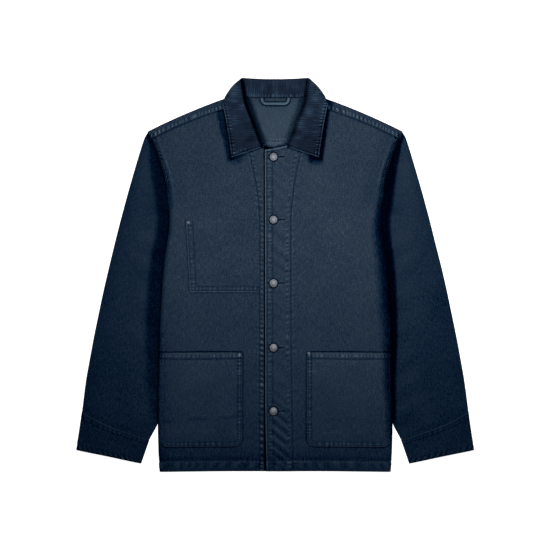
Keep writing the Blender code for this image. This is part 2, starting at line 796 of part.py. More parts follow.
def main():
    for obj in list(bpy.data.objects):
        bpy.data.objects.remove(obj, do_unlink=True)
    canvas = finish("navy canvas", NAVY, 0.85)
    inside = finish("canvas inside", NAVY_INSIDE, 0.88)
    cord = finish("navy corduroy", NAVY_CORD, 0.8)
    metal = finish("pewter metal", PEWTER, 0.38, 1.0)
    build_body(canvas)
    build_sleeves(canvas)
    build_collar(cord, inside, canvas)
    build_pockets(canvas)
    build_metal(metal)


main()
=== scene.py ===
import bpy
import numpy as np
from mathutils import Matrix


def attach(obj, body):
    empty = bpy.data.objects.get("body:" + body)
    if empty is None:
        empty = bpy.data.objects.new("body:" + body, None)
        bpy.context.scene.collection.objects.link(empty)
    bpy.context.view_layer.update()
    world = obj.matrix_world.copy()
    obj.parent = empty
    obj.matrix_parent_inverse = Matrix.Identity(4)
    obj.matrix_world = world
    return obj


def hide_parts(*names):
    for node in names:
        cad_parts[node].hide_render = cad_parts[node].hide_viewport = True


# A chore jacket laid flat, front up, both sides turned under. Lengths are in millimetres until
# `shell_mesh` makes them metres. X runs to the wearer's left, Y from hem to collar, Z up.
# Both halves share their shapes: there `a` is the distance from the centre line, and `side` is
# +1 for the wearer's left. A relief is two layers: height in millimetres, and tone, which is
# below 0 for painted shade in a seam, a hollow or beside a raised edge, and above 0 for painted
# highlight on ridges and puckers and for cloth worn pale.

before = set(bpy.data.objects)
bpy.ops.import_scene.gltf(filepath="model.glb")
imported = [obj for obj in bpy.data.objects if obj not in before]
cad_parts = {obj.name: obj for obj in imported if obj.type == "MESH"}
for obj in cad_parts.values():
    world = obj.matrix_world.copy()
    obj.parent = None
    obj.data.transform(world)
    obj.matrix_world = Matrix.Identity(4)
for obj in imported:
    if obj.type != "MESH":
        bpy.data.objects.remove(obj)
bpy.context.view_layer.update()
MM = 0.001

# Thicknesses, and the pitch of one layer of canvas over another
CANVAS, PITCH, CORDUROY, CUFF_WALL, FACING = 1.1, 1.6, 1.8, 1.4, 1
TWO_LAYERS = 2 * PITCH
LOFT = 6.4  # how far the side folds spring up past their layers
LOFT_SLOPE = 95
OUTER_FOLD = (TWO_LAYERS + PITCH + LOFT) / 2
INNER_FOLD = OUTER_FOLD - PITCH
HEM, TOP = -382.7, 382.7
OVERLAP = 20.5
ARMHOLE_FOOT, FOLD_END = 137, 113
UPPER_START = 207  # a panel is ruled in level rows up to here, and patched above
SHOULDER_END, SLEEVE_TOP = 243.2, 279

HALF_WIDTH = (
    (-382.7, 224.8), (-340, 227.2), (-291, 228.2), (-222, 227.6), (-153, 226.3),
    (-49, 221.4), (0, 218), (35, 214.4), (67.5, 209.3), (92, 206), (113, 205.2),
    (137, 207), (160, 211), (183, 216.2), (207, 222.6), (230.8, 230.3),
    (249.3, 236.9), (263, 242.6), (274.7, 246.8),
)
ARMPIT, FOLD_TOP, CUFF_CORNER = (120, 67.5), (205, 115), (262.3, -367.2)
NECKLINE = ((-20.5, 242.5), (24, 251.5), (44, 263), (62, 288), (80, 327))
BACK_NECKLINE = ((0, 343.4), (24, 343.4), (44, 344), (62, 345.6), (76, 349.4))
SHOULDER_FOLD, SHOULDER_SEAM = (382.2, 0.4148), (359.9, 0.3919)
FOLD_BOW, SEAM_BOW = 3.8, 6.2

SLEEVE_OUTER = (
    (247.4, 279), (254.6, 266), (262.6, 242), (274.3, 203), (283, 173), (294, 133), (306.1, 87.1),
    (338.6, -49.4), (361.4, -165), (368.6, -205), (376.6, -268.4),
)
SLEEVE_HIDDEN = ((194, 121), (162.6, 94), (120.3, 67))
SLEEVE_INNER = ((120.3, 67), (174.8, -110.6), (229.3, -288.3), (246.4, -321.6))
CUFF_SEAM = ((376.8, -267.6), (350, -282.4), (323, -295), (285, -309), (246.6, -322.4))
CUFF_HEM = ((387.6, -341.4), (323, -354), (262.3, -367.8))

ROLL = ((66.6, TOP), (57.4, 343.3), (40.5, 296), (23.4, 248.9))
COLLAR_SIDE, COLLAR_TIP = (99.8, 341.5), (84.2, 228.4)
STAND_FOOT = ((79.5, 350.5), (83, 327), (65, 286), (47, 260.5), (30, 246))

FRONT_EDGE = ((-382.7, -16.3), (-245, -19), (29, -19.3), (243, -19.8))
FACING_LINE = {
    1: ((-382.7, 35.7), (-100, 31.8), (114, 31.2), (153, 35.1), (220, 46), (262, 58)),
    -1: ((-382.7, 31.6), (-100, 31.4), (106.6, 31.2), (145.6, 33.5), (192, 41.3), (223.6, 47.6),
         (262, 58)),
}
HIP = {
    side: dict(inner=inner, foot=-334.6, mouth=-151.6, corner=17) for side, inner in ((-1, 64.2), (1, 61.8))
}
CHEST = dict(inner=30.8, foot=-34, mouth=104.5, corner=3)
CHEST_OUTER, HIP_INSET, PATCH_GAP = 173, 3.5, 0.7
BUTTON_X, BUTTON_Y, BUTTON_R = -3.3, (229.4, 107, -16.7, -142.3, -265.9), 8.4
RIVETS = (
    ("rivet_chest", -168.8, 100.9), ("rivet_hip_right", -69.9, -156.6), ("rivet_hip_left", 65.9, -153.2),
)


# ---------------------------------------------------------------- lines and noise

def ramp(t):
    """0 up to t = 0, 1 from t = 1, with a level start and end."""
    t = np.clip(t, 0, 1)
    return t * t * (3 - 2 * t)


def cover(distance, width=80):
    """1 up to distance 0, falling to 0 at `width`."""
    return 1 - ramp(distance / width)


def bell(distance, width):
    """1 at distance 0, falling to 0.37 at `width`."""
    return np.exp(-((distance / width) ** 2))


def fade(distance, length):
    """1 up to distance 0, then falling to 0.37 of itself over each `length`."""
    return np.exp(-np.clip(distance, 0, None) / length)


def unit(vectors):
    """Vectors along the last axis, each at length 1."""
    return vectors / np.maximum(np.linalg.norm(vectors, axis=-1, keepdims=True), 1e-9)


def left_of(vectors):
    """Plan vectors turned a quarter to the left."""
    return np.stack([-vectors[..., 1], vectors[..., 0]], axis=-1)


def run_of(points):
    """Length along a line of plan points, from 0 at the first."""
    return np.concatenate([[0], np.cumsum(np.hypot(*np.diff(points, axis=0).T))])


def curve(x, table):
    """Smooth line through a table of (x, value): a cubic between each two points, whose slope at
    each point is the harmonic mean of the slopes beside it, so that it never overshoots."""
    points = np.array(table, float)
    if points[0, 0] > points[-1, 0]:
        points = points[::-1]
    xs, ys = points.T
    step, rise = np.diff(xs), np.diff(ys) / np.diff(xs)
    product, total = rise[:-1] * rise[1:], rise[:-1] + rise[1:]
    mean = np.where(product > 0, 2 * product / np.where(total == 0, 1, total), 0)
    slope = np.concatenate([rise[:1], mean, rise[-1:]])
    x = np.clip(x, xs[0], xs[-1])
    i = np.clip(np.searchsorted(xs, x, side="right") - 1, 0, len(step) - 1)
    t = (x - xs[i]) / step[i]
    rest = t * (1 - t) * step[i] * ((1 - t) * (slope[i] - rise[i]) - t * (slope[i + 1] - rise[i]))
    return ys[i] + rise[i] * (x - xs[i]) + rest


def along(points, count):
    """`count` points spaced evenly by length along the smooth line through a few points."""
    points = np.array(points, float)
    run = run_of(points)
    fine = np.linspace(0, run[-1], 400)
    dense = np.stack([curve(fine, np.stack([run, p], axis=1)) for p in points.T], axis=1)
    length = run_of(dense)
    where = np.linspace(0, length[-1], count)
    return np.stack([np.interp(where, length, p) for p in dense.T], axis=1)


def paced(start, end, marks, fine, coarse, reach=12):
    """Numbers from start to end, `fine` apart near the marks and `coarse` apart elsewhere."""
    x = np.linspace(start, end, 6000)
    near = np.max([bell(np.maximum(np.abs(x - m) - reach / 2, 0), reach) for m in marks], axis=0)
    count = np.cumsum(np.gradient(x) / (coarse - (coarse - fine) * near))
    count -= count[0]
    return np.interp(np.linspace(0, count[-1], int(round(abs(count[-1]))) + 1), count, x)


def shares(start, end, marks, fine, coarse, reach):
    """Numbers from 0 to 1 that share out a width as `paced` does."""
    return (paced(start, end, marks, fine, coarse, reach) - start) / (end - start)


def out_at(y, *points):
    """How far out a line of plan points is at a height y."""
    return curve(y, [(p[1], p[0]) for p in points])


def wander(s, step, seed):
    """A random line between -1 and 1 that changes over about `step`."""
    table = np.random.default_rng(seed).uniform(-1, 1, 1024)
    t = np.asarray(s, float) / step + 300
    i = np.floor(t).astype(int)
    f = ramp(t - i)
    return table[i % 1024] * (1 - f) + table[(i + 1) % 1024] * f


def ripple(x, y, step, seed):
    """A random surface between -1 and 1 whose hills are about `step` wide."""
    table = np.random.default_rng(seed).uniform(-1, 1, (256, 256))
    u, v = np.asarray(x, float) / step + 60, np.asarray(y, float) / step + 60
    i, j = np.floor(u).astype(int), np.floor(v).astype(int)
    f, g = ramp(u - i), ramp(v - j)
    low = table[i % 256, j % 256] * (1 - f) + table[(i + 1) % 256, j % 256] * f
    high = table[i % 256, (j + 1) % 256] * (1 - f) + table[(i + 1) % 256, (j + 1) % 256] * f
    return low * (1 - g) + high * g


def gathers(s, pitch, seed):
    """Uneven puckers along a seam, -1 to 1: a wave whose pitch and strength wander."""
    phase = s / pitch + 0.55 * wander(s, 2.3 * pitch, seed) + 0.9 * wander(s, 9 * pitch, seed + 1)
    return np.cos(2 * np.pi * phase) * (0.62 + 0.38 * wander(s, 1.7 * pitch, seed + 2))


def relief(height, tone):
    """The two layers of a relief, stacked."""
    return np.stack(np.broadcast_arrays(np.asarray(height, float), np.asarray(tone, float)))


def stitched(d, s, seed, pitch=8, spots=(6, 3), rows=(2.5, 9.5), pucker=0.4, light=0.6, slant=0,
             puff=0.25, groove=0.35, edge=0.25, drag=0.25, rim=0.8, sunk=0.6):
    """Relief of a stitched edge, d in from the edge and s along it. Each row of stitches pulls a
    groove, the cloth between them puffs up and puckers into short bars, the folded edge is a
    bead, and the puckers drag on a little way into the cloth. The tone paints highlight on the
    bars and the drags and shade in the grooves, and makes the bead pale, partly as wear and partly
    as painted highlight; `light` sets how strong it is."""
    wave = gathers(s + slant * d, pitch, seed)
    middle, width = spots
    between = bell(d - middle, width)
    height = (puff + pucker * wave) * between
    # painted highlight on the pucker bars, painted shade in each row's groove
    tone = light * (0.05 + np.clip(wave, -0.3, 1)) * between
    for row in rows:
        line = bell(d - row, 1.3)
        height = height - groove * line
        tone = tone - sunk * light * line * (1 - 0.3 * wave)
    bead = bell(d - 0.6, 1.4)
    dragged = fade(d - rows[-1], 7) * ramp((d - rows[-1]) / 2) * drag
    height = height + edge * bead + 0.5 * pucker * wave * dragged
    tone = tone + light * (rim + 0.3 * wave) * bead + 0.6 * light * wave * dragged
    return relief(height, tone)


# ---------------------------------------------------------------- the body's levels

def beyond(a, y, start, end):
    """Distance of (a, y) from the line start-end, positive on its left."""
    (a0, y0), (a1, y1) = start, end
    return ((a1 - a0) * (y - y0) - (y1 - y0) * (a - a0)) / np.hypot(a1 - a0, y1 - y0)


def half_width(y):
    return curve(y, HALF_WIDTH)


def side_seam(y):
    return np.interp(y, (HEM, ARMPIT[1]), (164, ARMPIT[0]))


def sleeve_lift(a, y):
    """How far cloth is raised by the sleeve below it: two layers inside the sleeve's inner edge
    and below the armhole, fading past both."""
    inside = -beyond(a, y, ARMPIT, CUFF_CORNER) - 9
    above = -beyond(a, y, FOLD_TOP, ARMPIT)
    return TWO_LAYERS * cover(inside) * cover(above)


def body_lift(a, y):
    """Rise of the back panel: the sleeve's two layers, the turned-under side's two, the spring of
    the fold, and the collar's back fall."""
    a = np.abs(a)
    strip = TWO_LAYERS * cover(side_seam(y) - a)
    spring = LOFT * cover(half_width(y) - 9 - a, LOFT_SLOPE)
    above = -beyond(a, y, FOLD_TOP, ARMPIT)
    collar = 2.3 * cover(a - 102) * cover(329 - y)
    return sleeve_lift(a, y) + (strip + spring) * cover(above, 95) + collar


def air(x, y):
    """Soft hollows and swells of the panels: two random surfaces, 150 and 60 mm wide."""
    return 0.55 * ripple(x, y, 150, 5) + 0.22 * ripple(x + 0.4 * y, y - 0.3 * x, 58, 6)


def back_level(a, y):
    return body_lift(a, y) + CANVAS / 2


def front_level(a, y, side):
    """Middle of a front's wall. The wearer's left front also climbs over the right one."""
    level = back_level(a, y) + PITCH + 0.6 + air(side * a, y)
    if side > 0:
        level = level + (PITCH + 0.5) * cover(a - 22.5, 30)
    return level


def front_shape(a, y, side):
    """As front_level, and falling away round the side fold: a circle of the fold's radius."""
    centre = half_width(y) - OUTER_FOLD - CANVAS / 2
    past = np.clip(a - centre, 0, 0.97 * OUTER_FOLD) * cover(y - FOLD_END, 20)
    level = front_level(np.where(y > FOLD_END, a, np.minimum(a, centre)), y, side)
    return level + (np.sqrt(OUTER_FOLD**2 - past**2) - OUTER_FOLD)


# ---------------------------------------------------------------- reliefs

def armhole_relief(a, y, side):
    """The body's side of an armhole seam: two rows of stitches 8 mm apart over a thick turning,
    which puckers into slanting bars like a braid. The tone paints highlight on the bars and a
    pale line past the outer row, and shade along the edge where the sleeve drops away."""
    edge = half_width(y)
    stretch = np.hypot(1, (half_width(y + 1) - half_width(y - 1)) / 2)
    d, s = (edge - a) / stretch, y * stretch
    upper = ramp((y - 121) / 16)
    braid = ramp((y - 150) / 30)
    turning = 0.95 * cover(d - 10.5, 3)
    seed = 60 + side
    seam = stitched(d, s, seed, pitch=5.2, spots=(6.6, 2.6), rows=(3, 10.4), pucker=0.42, light=1.3,
                    slant=0.8, puff=0.2, drag=0.06, rim=0, sunk=0.35) * braid
    # painted highlight along the outer row, and a little painted shade beyond it
    pale = 0.65 * bell(d - 12.6, 1.3) * braid * (0.7 + 0.3 * wander(s, 14, seed + 9))
    pale = pale - (0.05 if side < 0 else 0.09) * ramp((d - 13) / 2) * cover(d - 24, 30)
    # painted shade along the body's edge, where the sleeve drops away below it
    deep = 0.58 if side < 0 else 0.72
    base = (deep * cover(d - 9.5, 2.5) + 0.4 * cover(d, 4.5)) * braid + 0.6 * cover(d, 14) * (1 - braid)
    return (seam + relief(turning, pale - base)) * upper


def hem_relief(a, y, seed):
    """The hem: one row of stitches 20 mm up. The turned hem ropes below it in uneven lumps, and the
    cloth puckers just above. The tone paints highlight on the lumps and along the stitch line,
    shade at the very edge and among the puckers, and shade darker over the last few centimetres."""
    d = y - HEM
    rope = gathers(a + 0.35 * d, 21, seed) * (0.65 + 0.35 * ripple(a, d, 23, seed + 3))
    fine = gathers(a, 6.5, seed + 7)
    lumps = ramp((d - 3) / 6) * cover(d - 16, 3.5)
    height = (0.35 + 0.6 * rope) * lumps + 0.3 * fine * bell(d - 23.5, 3.5) - 0.5 * bell(d - 19, 1.5)
    tone = (0.62 * np.clip(rope + 0.1, -0.12, 0.8)) * lumps + (0.16 * fine - 0.14) * bell(d - 24.5, 4)
    broken = 0.5 + 0.5 * wander(a, 21, seed + 5)
    tone = tone + (0.3 * broken + 0.28 * fine) * bell(d - 19, 2) - 0.12 * bell(d, 2)
    # painted shade, darker over the last few centimetres
    hem_shade = 0.18 * cover(d - 26, 34)
    return relief(height + 0.2 * bell(d - 1, 1.5), tone - hem_shade)


def placket_relief(a, y, side):
    """Front edge and the stitched line of its facing, with short drags between the two, the tone
    painting highlight on their puckers and the edge. The under front gets painted shadow along the
    edge that lies on it."""
    lap = -curve(y, FRONT_EDGE)
    d = a + lap
    line = curve(y, FACING_LINE[side])
    out = np.zeros((2, *np.broadcast(a, y).shape))
    if side > 0:
        out = stitched(d, y, 31, pitch=7.6, spots=(8.4, 3.2), rows=(3.4, 14), pucker=0.3, light=0.55,
                       puff=0.18, groove=0.22, edge=0.45, drag=0.1)
        out = out + relief(0.9 * cover(d, 16), 0.2 * bell(d - 0.5, 1.2))
        swell = cover(y + 300, 90) * cover(-(y + 382), 40)
        slant = gathers(y + 0.8 * a, 24, 44) * cover(np.abs(d - 26) - 10, 14)
        out = out + relief(0.55 * slant * (0.35 + swell), 0.2 * slant * (0.4 + swell))
    else:
        # painted shadow of the upper front's edge, wider towards the hem
        wide = 1.4 + 2.4 * ramp((-y - 250) / 80)
        out = out - relief(0, 1.7 * cover(a - lap - wide, 1.7))
    inner = line - a
    wave = gathers(y + 0.25 * inner, 9.8, 35 + side)
    spots = bell(inner - (8 if side > 0 else 5.2), 3)
    groove = bell(inner - 0.6, 1.3)
    height = 0.34 * wave * spots - 0.26 * groove + 0.12 * bell(inner - 3.2, 1.6)
    more = 0.5 + (0.6 * ramp((-y - 20) / 150) if side < 0 else 0)
    tone = more * np.clip(wave, -0.3, 1) * spots - 0.4 * groove
    tone = tone + (0.14 + 0.1 * wave) * bell(inner + 1.8, 1.5) + 0.14 * wave * bell(inner + 5, 4)
    return out + relief(height, tone)


def outside_shade(a, y, box, outer, width):
    """Painted shade on the front just outside a patch that lies on it, and above its mouth."""
    gap = -rounded_gap(a, y, box["inner"], box["foot"], outer, box["corner"])
    return cover(gap - 0.4, width) * (y < box["mouth"] + 1) * (gap > -3)


def front_relief(a, y, side):
    """All that shows on a front: edges, facing line, hem, armhole, and the neck and shoulder
    seams; and the painted shade and shadow beside what lies on it, such as pockets, collar and buttons."""
    out = placket_relief(a, y, side) * cover(y - 260, 30) + hem_relief(a, y, 50 + side)
    out = out + armhole_relief(a, y, side)
    shoulder = (shoulder_line(a, SHOULDER_SEAM, SEAM_BOW) - y) / np.hypot(1, SHOULDER_SEAM[1])
    tuck = cover(shoulder, 6)
    drag = gathers(a, 8.5, 70 + side) * fade(shoulder, 9) * ramp(shoulder / 3)
    # painted shade in the shoulder seam under the band, painted highlight on the drags below it
    out = out + relief(-0.55 * tuck + 0.18 * drag, -0.5 * cover(shoulder - 0.2, 1.6) + 0.2 * drag)
    neck = y - curve(a, NECKLINE)
    edge = cover(a - 40, 20)
    # painted highlight along the neck edge, painted shade just below it
    out = out + relief(0.25 * bell(neck + 1, 1.5) * edge,
                       (0.6 * bell(neck + 1.2, 1.6) - 0.3 * bell(neck + 4.5, 1.4)) * edge)
    # painted shade: the rounded side, round the hip and chest pockets, and in the gap above the hip pocket's
    # mouth
    dark = edge_shade(a, y, side)
    box, outer = HIP[side], hip_outer(y)
    hip = outside_shade(a, y, box, outer, 2.8) * (a < outer - 2)
    mouth = bell(y - box["mouth"] - 1.1 - 0.8 * bell(a - 130, 40), 1.2) * ramp((a - box["inner"] + 2) / 4)
    dark = dark + np.maximum(0.85 * hip, 0.95 * mouth)
    if side < 0:
        dark = dark + 0.35 * outside_shade(a, y, CHEST, chest_outer(y), 2.4) * (a > CHEST["inner"] - 1)
    else:
        for at in BUTTON_Y:
            # painted shadow round each button and in its buttonhole's slit, painted highlight on the slit's
            # lips
            ring = np.hypot(a - BUTTON_X, y - at)
            slit = bell(y - at - 0.06 * (a - 8), 1.3) * ramp((a - 4) / 3) * cover(a - 17, 3)
            lips = bell(np.abs(y - at) - 3, 1.1) * ramp((a - 5) / 3) * cover(a - 17, 3)
            lips = lips * (0.6 + 0.4 * gathers(a, 3.3, 56))
            dark = dark + 1.1 * cover(ring - BUTTON_R, 2.2) + 0.75 * slit - 0.35 * lips
    # painted shadow of the collar, and painted shade darker towards the hem
    dark = dark + collar_shade(a, y, side) + body_shade(y)
    return out - relief(0, dark + (0.04 if side < 0 else 0))


def edge_shade(a, y, side):
    """Painted shade where the body rounds away to its folded side: a thin line of it on the wearer's
    right that widens below the pocket mouth, and a broad band of it on the left."""
    d = np.clip(half_width(y) + 2.6 - a, 0, None)
    if side > 0:
        start, wide, depth = (curve(y, [(at, row[n]) for at, *row in LEFT_EDGE]) for n in range(3))
        return depth * cover(d - start, wide) * cover(y - 110, 55)
    low = ramp((-70 - y) / 50)
    mouth = 0.4 * cover(d - 9, 3) * bell(y + 157, 6.5)
    return (0.35 * fade(d, 3.5) + 0.38 * low * fade(d, 13)) * cover(y - 95, 40) + mouth


# The shade along the wearer's left edge: where it starts to fade, over how much, and how deep it is
LEFT_EDGE = (
    (-375, 0, 8, 0.25), (-345, 0, 8, 0.3), (-325, 1, 14, 0.75), (-303, 1, 22, 0.8),
    (-260, 3, 18, 0.88), (-210, 6, 22, 0.88), (-157, 6, 20, 0.88), (-125, 2, 29, 0.8),
    (-50, 3, 28, 0.85), (60, 4.5, 24, 0.9), (130, 3, 17, 0.85),
)


def body_shade(y):
    """Painted shade, a little darker towards the hem."""
    return 0.12 * ramp((-100 - y) / 240) + 0.06 * ramp((100 - y) / 200)


def shoulder_line(a, table, rise):
    """A shoulder line: a straight slope that bows up in its middle by `rise`."""
    t = np.clip((a - 80) / 167, 0, 1)
    return table[0] - table[1] * a + rise * 4 * t * (1 - t)


def collar_shade(a, y, side):
    """Painted shadow on the front under the collar's edges, which stand clear of it: wide and soft on
    the wearer's right, narrow and deep on the left."""
    edge = np.interp(y, (228.4, 295, 341.5), (84.2, 93.5, 99.8))
    below = -beyond(a, y, ROLL[-1], COLLAR_TIP)
    wide = curve(y, ((230, 7.5), (252, 8.5), (281, 12.5), (313, 14.5)))
    reach, soft, depth = (wide, 6, 0.58) if side < 0 else (6.5, 5, 1.1)
    beside = cover(a - edge - reach, soft) * ramp((y - 208) / 24) * ramp((a - 60) / 10)
    near = 0.35 * bell(a - edge, 4) * (y > 224) if side < 0 else 0
    under = cover(below - 2.5, 8) * cover(a - edge - 2, 10) * ramp((a - 46) / 26)
    line = cover(below - 0.5, 2.5) * ramp((a - 22) / 3) * cover(a - edge, 4)
    return np.maximum(np.maximum(depth * beside, (0.7 if side < 0 else 0.5) * under), 0.6 * line) + near


# ---------------------------------------------------------------- meshes

def normals(grid):
    """Unit normals of a grid of points, from its two directions."""
    return unit(np.cross(np.gradient(grid, axis=1), np.gradient(grid, axis=0)))


def quads(index):
    """Quads between the points of a grid of indices."""
    corners = (index[:-1, :-1], index[:-1, 1:], index[1:, 1:], index[1:, :-1])
    return np.stack([c.ravel() for c in corners], axis=1)


def shell(grid, thickness, shape=None, cloth=None, under=0.3, bead=0.4, downward=False):
    """Closed cloth about a grid of points: its two faces lie half a thickness out along the
    normal, the upper one moved by the relief too, and a rounded rim joins them, standing
    `bead` past their edges. Gives points, quads, tone and the cloth's own coordinates. Rows that
    run `downward` are put in the other way about, so that the normal points out."""
    rows, columns = grid.shape[:2]
    height, tone = shape if shape is not None else np.zeros((2, rows, columns))
    cloth = grid[..., :2] if cloth is None else cloth
    if downward:
        grid, height, tone, cloth = grid[::-1], height[::-1], tone[::-1], cloth[::-1]
    normal = normals(grid)
    upper = grid + normal * (thickness / 2 + height)[..., None]
    lower = grid - normal * (thickness / 2 - under * height)[..., None]
    index = np.arange(rows * columns).reshape(rows, columns)
    around = np.concatenate([index[0, :-1], index[:-1, -1], index[-1, :0:-1], index[:0:-1, 0]])
    flat_upper, flat_lower = upper.reshape(-1, 3), lower.reshape(-1, 3)
    middle = (flat_upper[around] + flat_lower[around]) / 2
    inner = np.concatenate([index[1, :-1], index[:-1, -2], index[-2, :0:-1], index[:0:-1, 1]])
    out = unit(middle - (flat_upper[inner] + flat_lower[inner]) / 2)
    points = np.concatenate([flat_upper, flat_lower, middle + out * bead])
    total = rows * columns
    rim = 2 * total + np.arange(len(around))
    after, rim_after = np.roll(around, -1), np.roll(rim, -1)
    faces = np.concatenate([
        quads(index), quads(index)[:, ::-1] + total,
        np.stack([after, around, rim, rim_after], axis=1),
        np.stack([rim_after, rim, around + total, after + total], axis=1),
    ])
    tone, cloth = tone.ravel(), cloth.reshape(-1, 2)
    tone = np.concatenate([tone, tone * 0.3, tone[around]])
    return points, faces, tone, np.concatenate([cloth, cloth, cloth[around]])


def joined(parts):
    """Several shells as one: their arrays end to end, with the faces counted on."""
    start = np.cumsum([0] + [len(part[0]) for part in parts[:-1]])
    points, faces, tones, places = zip(*parts)
    faces = [f + s for f, s in zip(faces, start)]
    return tuple(np.concatenate(layer) for layer in (points, faces, tones, places))


def shell_mesh(name, shape, finish, sharp=50):
    """One object from the arrays of `shell`, its points now in metres, with the tone as an
    attribute and the cloth's coordinates as a UV map in decimetres."""
    points, faces, tones, places = shape
    mesh = bpy.data.meshes.new(name)
    mesh.vertices.add(len(points))
    mesh.vertices.foreach_set("co", (points * MM).astype(np.float32).ravel())
    mesh.loops.add(faces.size)
    mesh.loops.foreach_set("vertex_index", faces.astype(np.int32).ravel())
    mesh.polygons.add(len(faces))
    mesh.polygons.foreach_set("loop_start", np.arange(0, faces.size, 4, dtype=np.int32))
    mesh.update(calc_edges=True)
    mesh.attributes.new("tone", "FLOAT", "POINT").data.foreach_set("value", tones.astype(np.float32))
    uv = mesh.uv_layers.new(name="cloth")
    uv.data.foreach_set("uv", (places[faces.ravel()] * 0.01).astype(np.float32).ravel())
    mesh.shade_smooth()
    mesh.set_sharp_from_angle(angle=np.radians(sharp))
    mesh.materials.append(finish)
    obj = bpy.data.objects.new(name, mesh)
    bpy.context.scene.collection.objects.link(obj)
    return obj


def half_shell(side, grid, thickness, shape, cloth=None, **how):
    """The shell of a half's grid on its own side, with columns always running towards +X."""
    if side < 0:
        grid, shape = grid[:, ::-1] * np.array([-1, 1, 1]), shape[..., ::-1]
        cloth = None if cloth is None else cloth[:, ::-1]
    return shell(grid, thickness, shape, cloth, **how)


def coons(bottom, top, left, right):
    """Grid of points between four edges: the two ruled surfaces less the one of the corners."""
    u = ((bottom[:, 0] - bottom[0, 0]) / (bottom[-1, 0] - bottom[0, 0]))[None, :, None]
    w = np.linspace(0, 1, len(left))[:, None, None]
    rows = (1 - w) * bottom[None] + w * top[None]
    columns = (1 - u) * left[:, None] + u * right[:, None]
    corners = (1 - w) * ((1 - u) * bottom[0] + u * bottom[-1]) + w * ((1 - u) * top[0] + u * top[-1])
    return rows + columns - corners


# ---------------------------------------------------------------- fronts and back

EDGE_STRIP = 9
ARC_COLUMNS, STRIP_COLUMNS = 11, 5


def panel(y, main, start, radius, neckline, shoulder, level, strip_level, upper_count):
    """A panel of half the body. Below the armhole each row runs level from `start` to the fold's
    centre, round a circle of the given radius, and back in to the side seam. The turn of the
    fold fades from 180 to 0 degrees between two heights, and the same columns then share out
    the last few millimetres at the armhole. Above y's last row a Coons patch ends at the
    neckline and shoulder. Gives the grid and its unrolled (a, y)."""
    y = y[:, None]
    turn = np.pi * cover(y - FOLD_END, ARMHOLE_FOOT - FOLD_END)
    width = half_width(y)
    centre = width - (OUTER_FOLD + CANVAS / 2) * np.sin(np.minimum(turn, np.pi / 2))
    spare = EDGE_STRIP * (1 - turn / np.pi)
    seam = np.maximum(side_seam(y), np.interp(y, (ARMPIT[1], FOLD_TOP[1]), (ARMPIT[0], FOLD_TOP[0])))
    strip = np.where(turn > 3.1, np.maximum(centre - seam, 0), 0)
    shown = np.maximum(strip, 1.5)
    bend = spare + OUTER_FOLD * turn - (shown - strip)
    arc, flat = (np.linspace(0, 1, columns + 1)[1:] for columns in (ARC_COLUMNS, STRIP_COLUMNS))
    run = np.concatenate([bend * arc, bend + shown * flat], axis=1)
    flat_end = centre - spare
    begin = start(y)
    a_main = begin + (flat_end - begin) * main[None, :]
    angle = np.clip((run - spare) / OUTER_FOLD, 0, turn)
    past = np.maximum(run - spare - OUTER_FOLD * turn, 0)
    a_turn = flat_end + np.minimum(run, spare) + radius * np.sin(angle) - past
    yy = np.broadcast_to(y, a_turn.shape)
    z_turn = level(np.minimum(a_turn, centre), yy) - radius + radius * np.cos(angle)
    z_turn = np.where(angle <= 0, level(a_turn, yy), z_turn)
    blend = ramp(past / 12)
    z_turn = np.where(past > 0, (1 - blend) * z_turn + blend * strip_level(a_turn, yy), z_turn)
    y_main = np.broadcast_to(y, a_main.shape)
    layers = (a_main, a_turn), (y_main, yy), (level(a_main, y_main), z_turn)
    grid = np.stack([np.concatenate(layer, axis=1) for layer in layers], axis=2)
    unrolled = np.concatenate([a_main, flat_end + run + 0 * a_turn], axis=1)
    lower = np.stack([unrolled, grid[..., 1]], axis=2)

    table, rise = shoulder
    count = len(main)
    end_y = shoulder_line(SHOULDER_END, table, rise)
    end = shoulder_line(half_width(end_y), table, rise)
    right_y = np.linspace(grid[-1, count - 1, 1], end, upper_count + 1)
    right = np.stack([half_width(right_y) - EDGE_STRIP, right_y], axis=1)
    top_a = begin[-1, 0] + (right[-1, 0] - begin[-1, 0]) * main
    split = neckline[-1][0]
    top_y = np.where(top_a < split, curve(top_a, neckline), shoulder_line(top_a, table, rise))
    top = np.stack([top_a, top_y], axis=1)
    right[-1] = top[-1]
    left = np.linspace(grid[-1, 0, :2], top[0], upper_count + 1)
    patch = coons(grid[-1, :count, :2], top, left, right)[1:]
    share = run[-1] / run[-1, -1]
    edge = patch[:, -1:, :] + share[None, :, None] * np.array([EDGE_STRIP, 0])
    edge[-1, :, 1] = shoulder_line(edge[-1, :, 0], table, rise)
    plan = np.concatenate([patch, edge], axis=1)
    upper = np.concatenate([plan, level(plan[..., 0], plan[..., 1])[..., None]], axis=2)
    return np.concatenate([grid, upper]), np.concatenate([lower, plan])


def front(side):
    """A front's shell, with its relief laid on over the unrolled cloth."""
    rows = paced(HEM, UPPER_START, (HEM + 4, HEM + 21, -150, -336, *BUTTON_Y), 1.4, 2.35, 9)
    main = shares(-OVERLAP, 225, (-20, -8, 6, 31, 38), 1.35, 2.9, 7)

    def start(y):
        return curve(y, FRONT_EDGE) if side > 0 else np.full_like(y, -OVERLAP)

    grid, cloth = panel(
        rows, main, start, OUTER_FOLD, NECKLINE, (SHOULDER_SEAM, SEAM_BOW),
        lambda a, y: front_level(a, y, side), lambda a, y: sleeve_lift(a, y) + CANVAS / 2, 52,
    )
    shape = front_relief(cloth[..., 0], cloth[..., 1], side)
    shape[0] *= ramp((grid[..., 2] - 0.8) / 1.5)
    return half_shell(side, grid, CANVAS, shape, cloth)


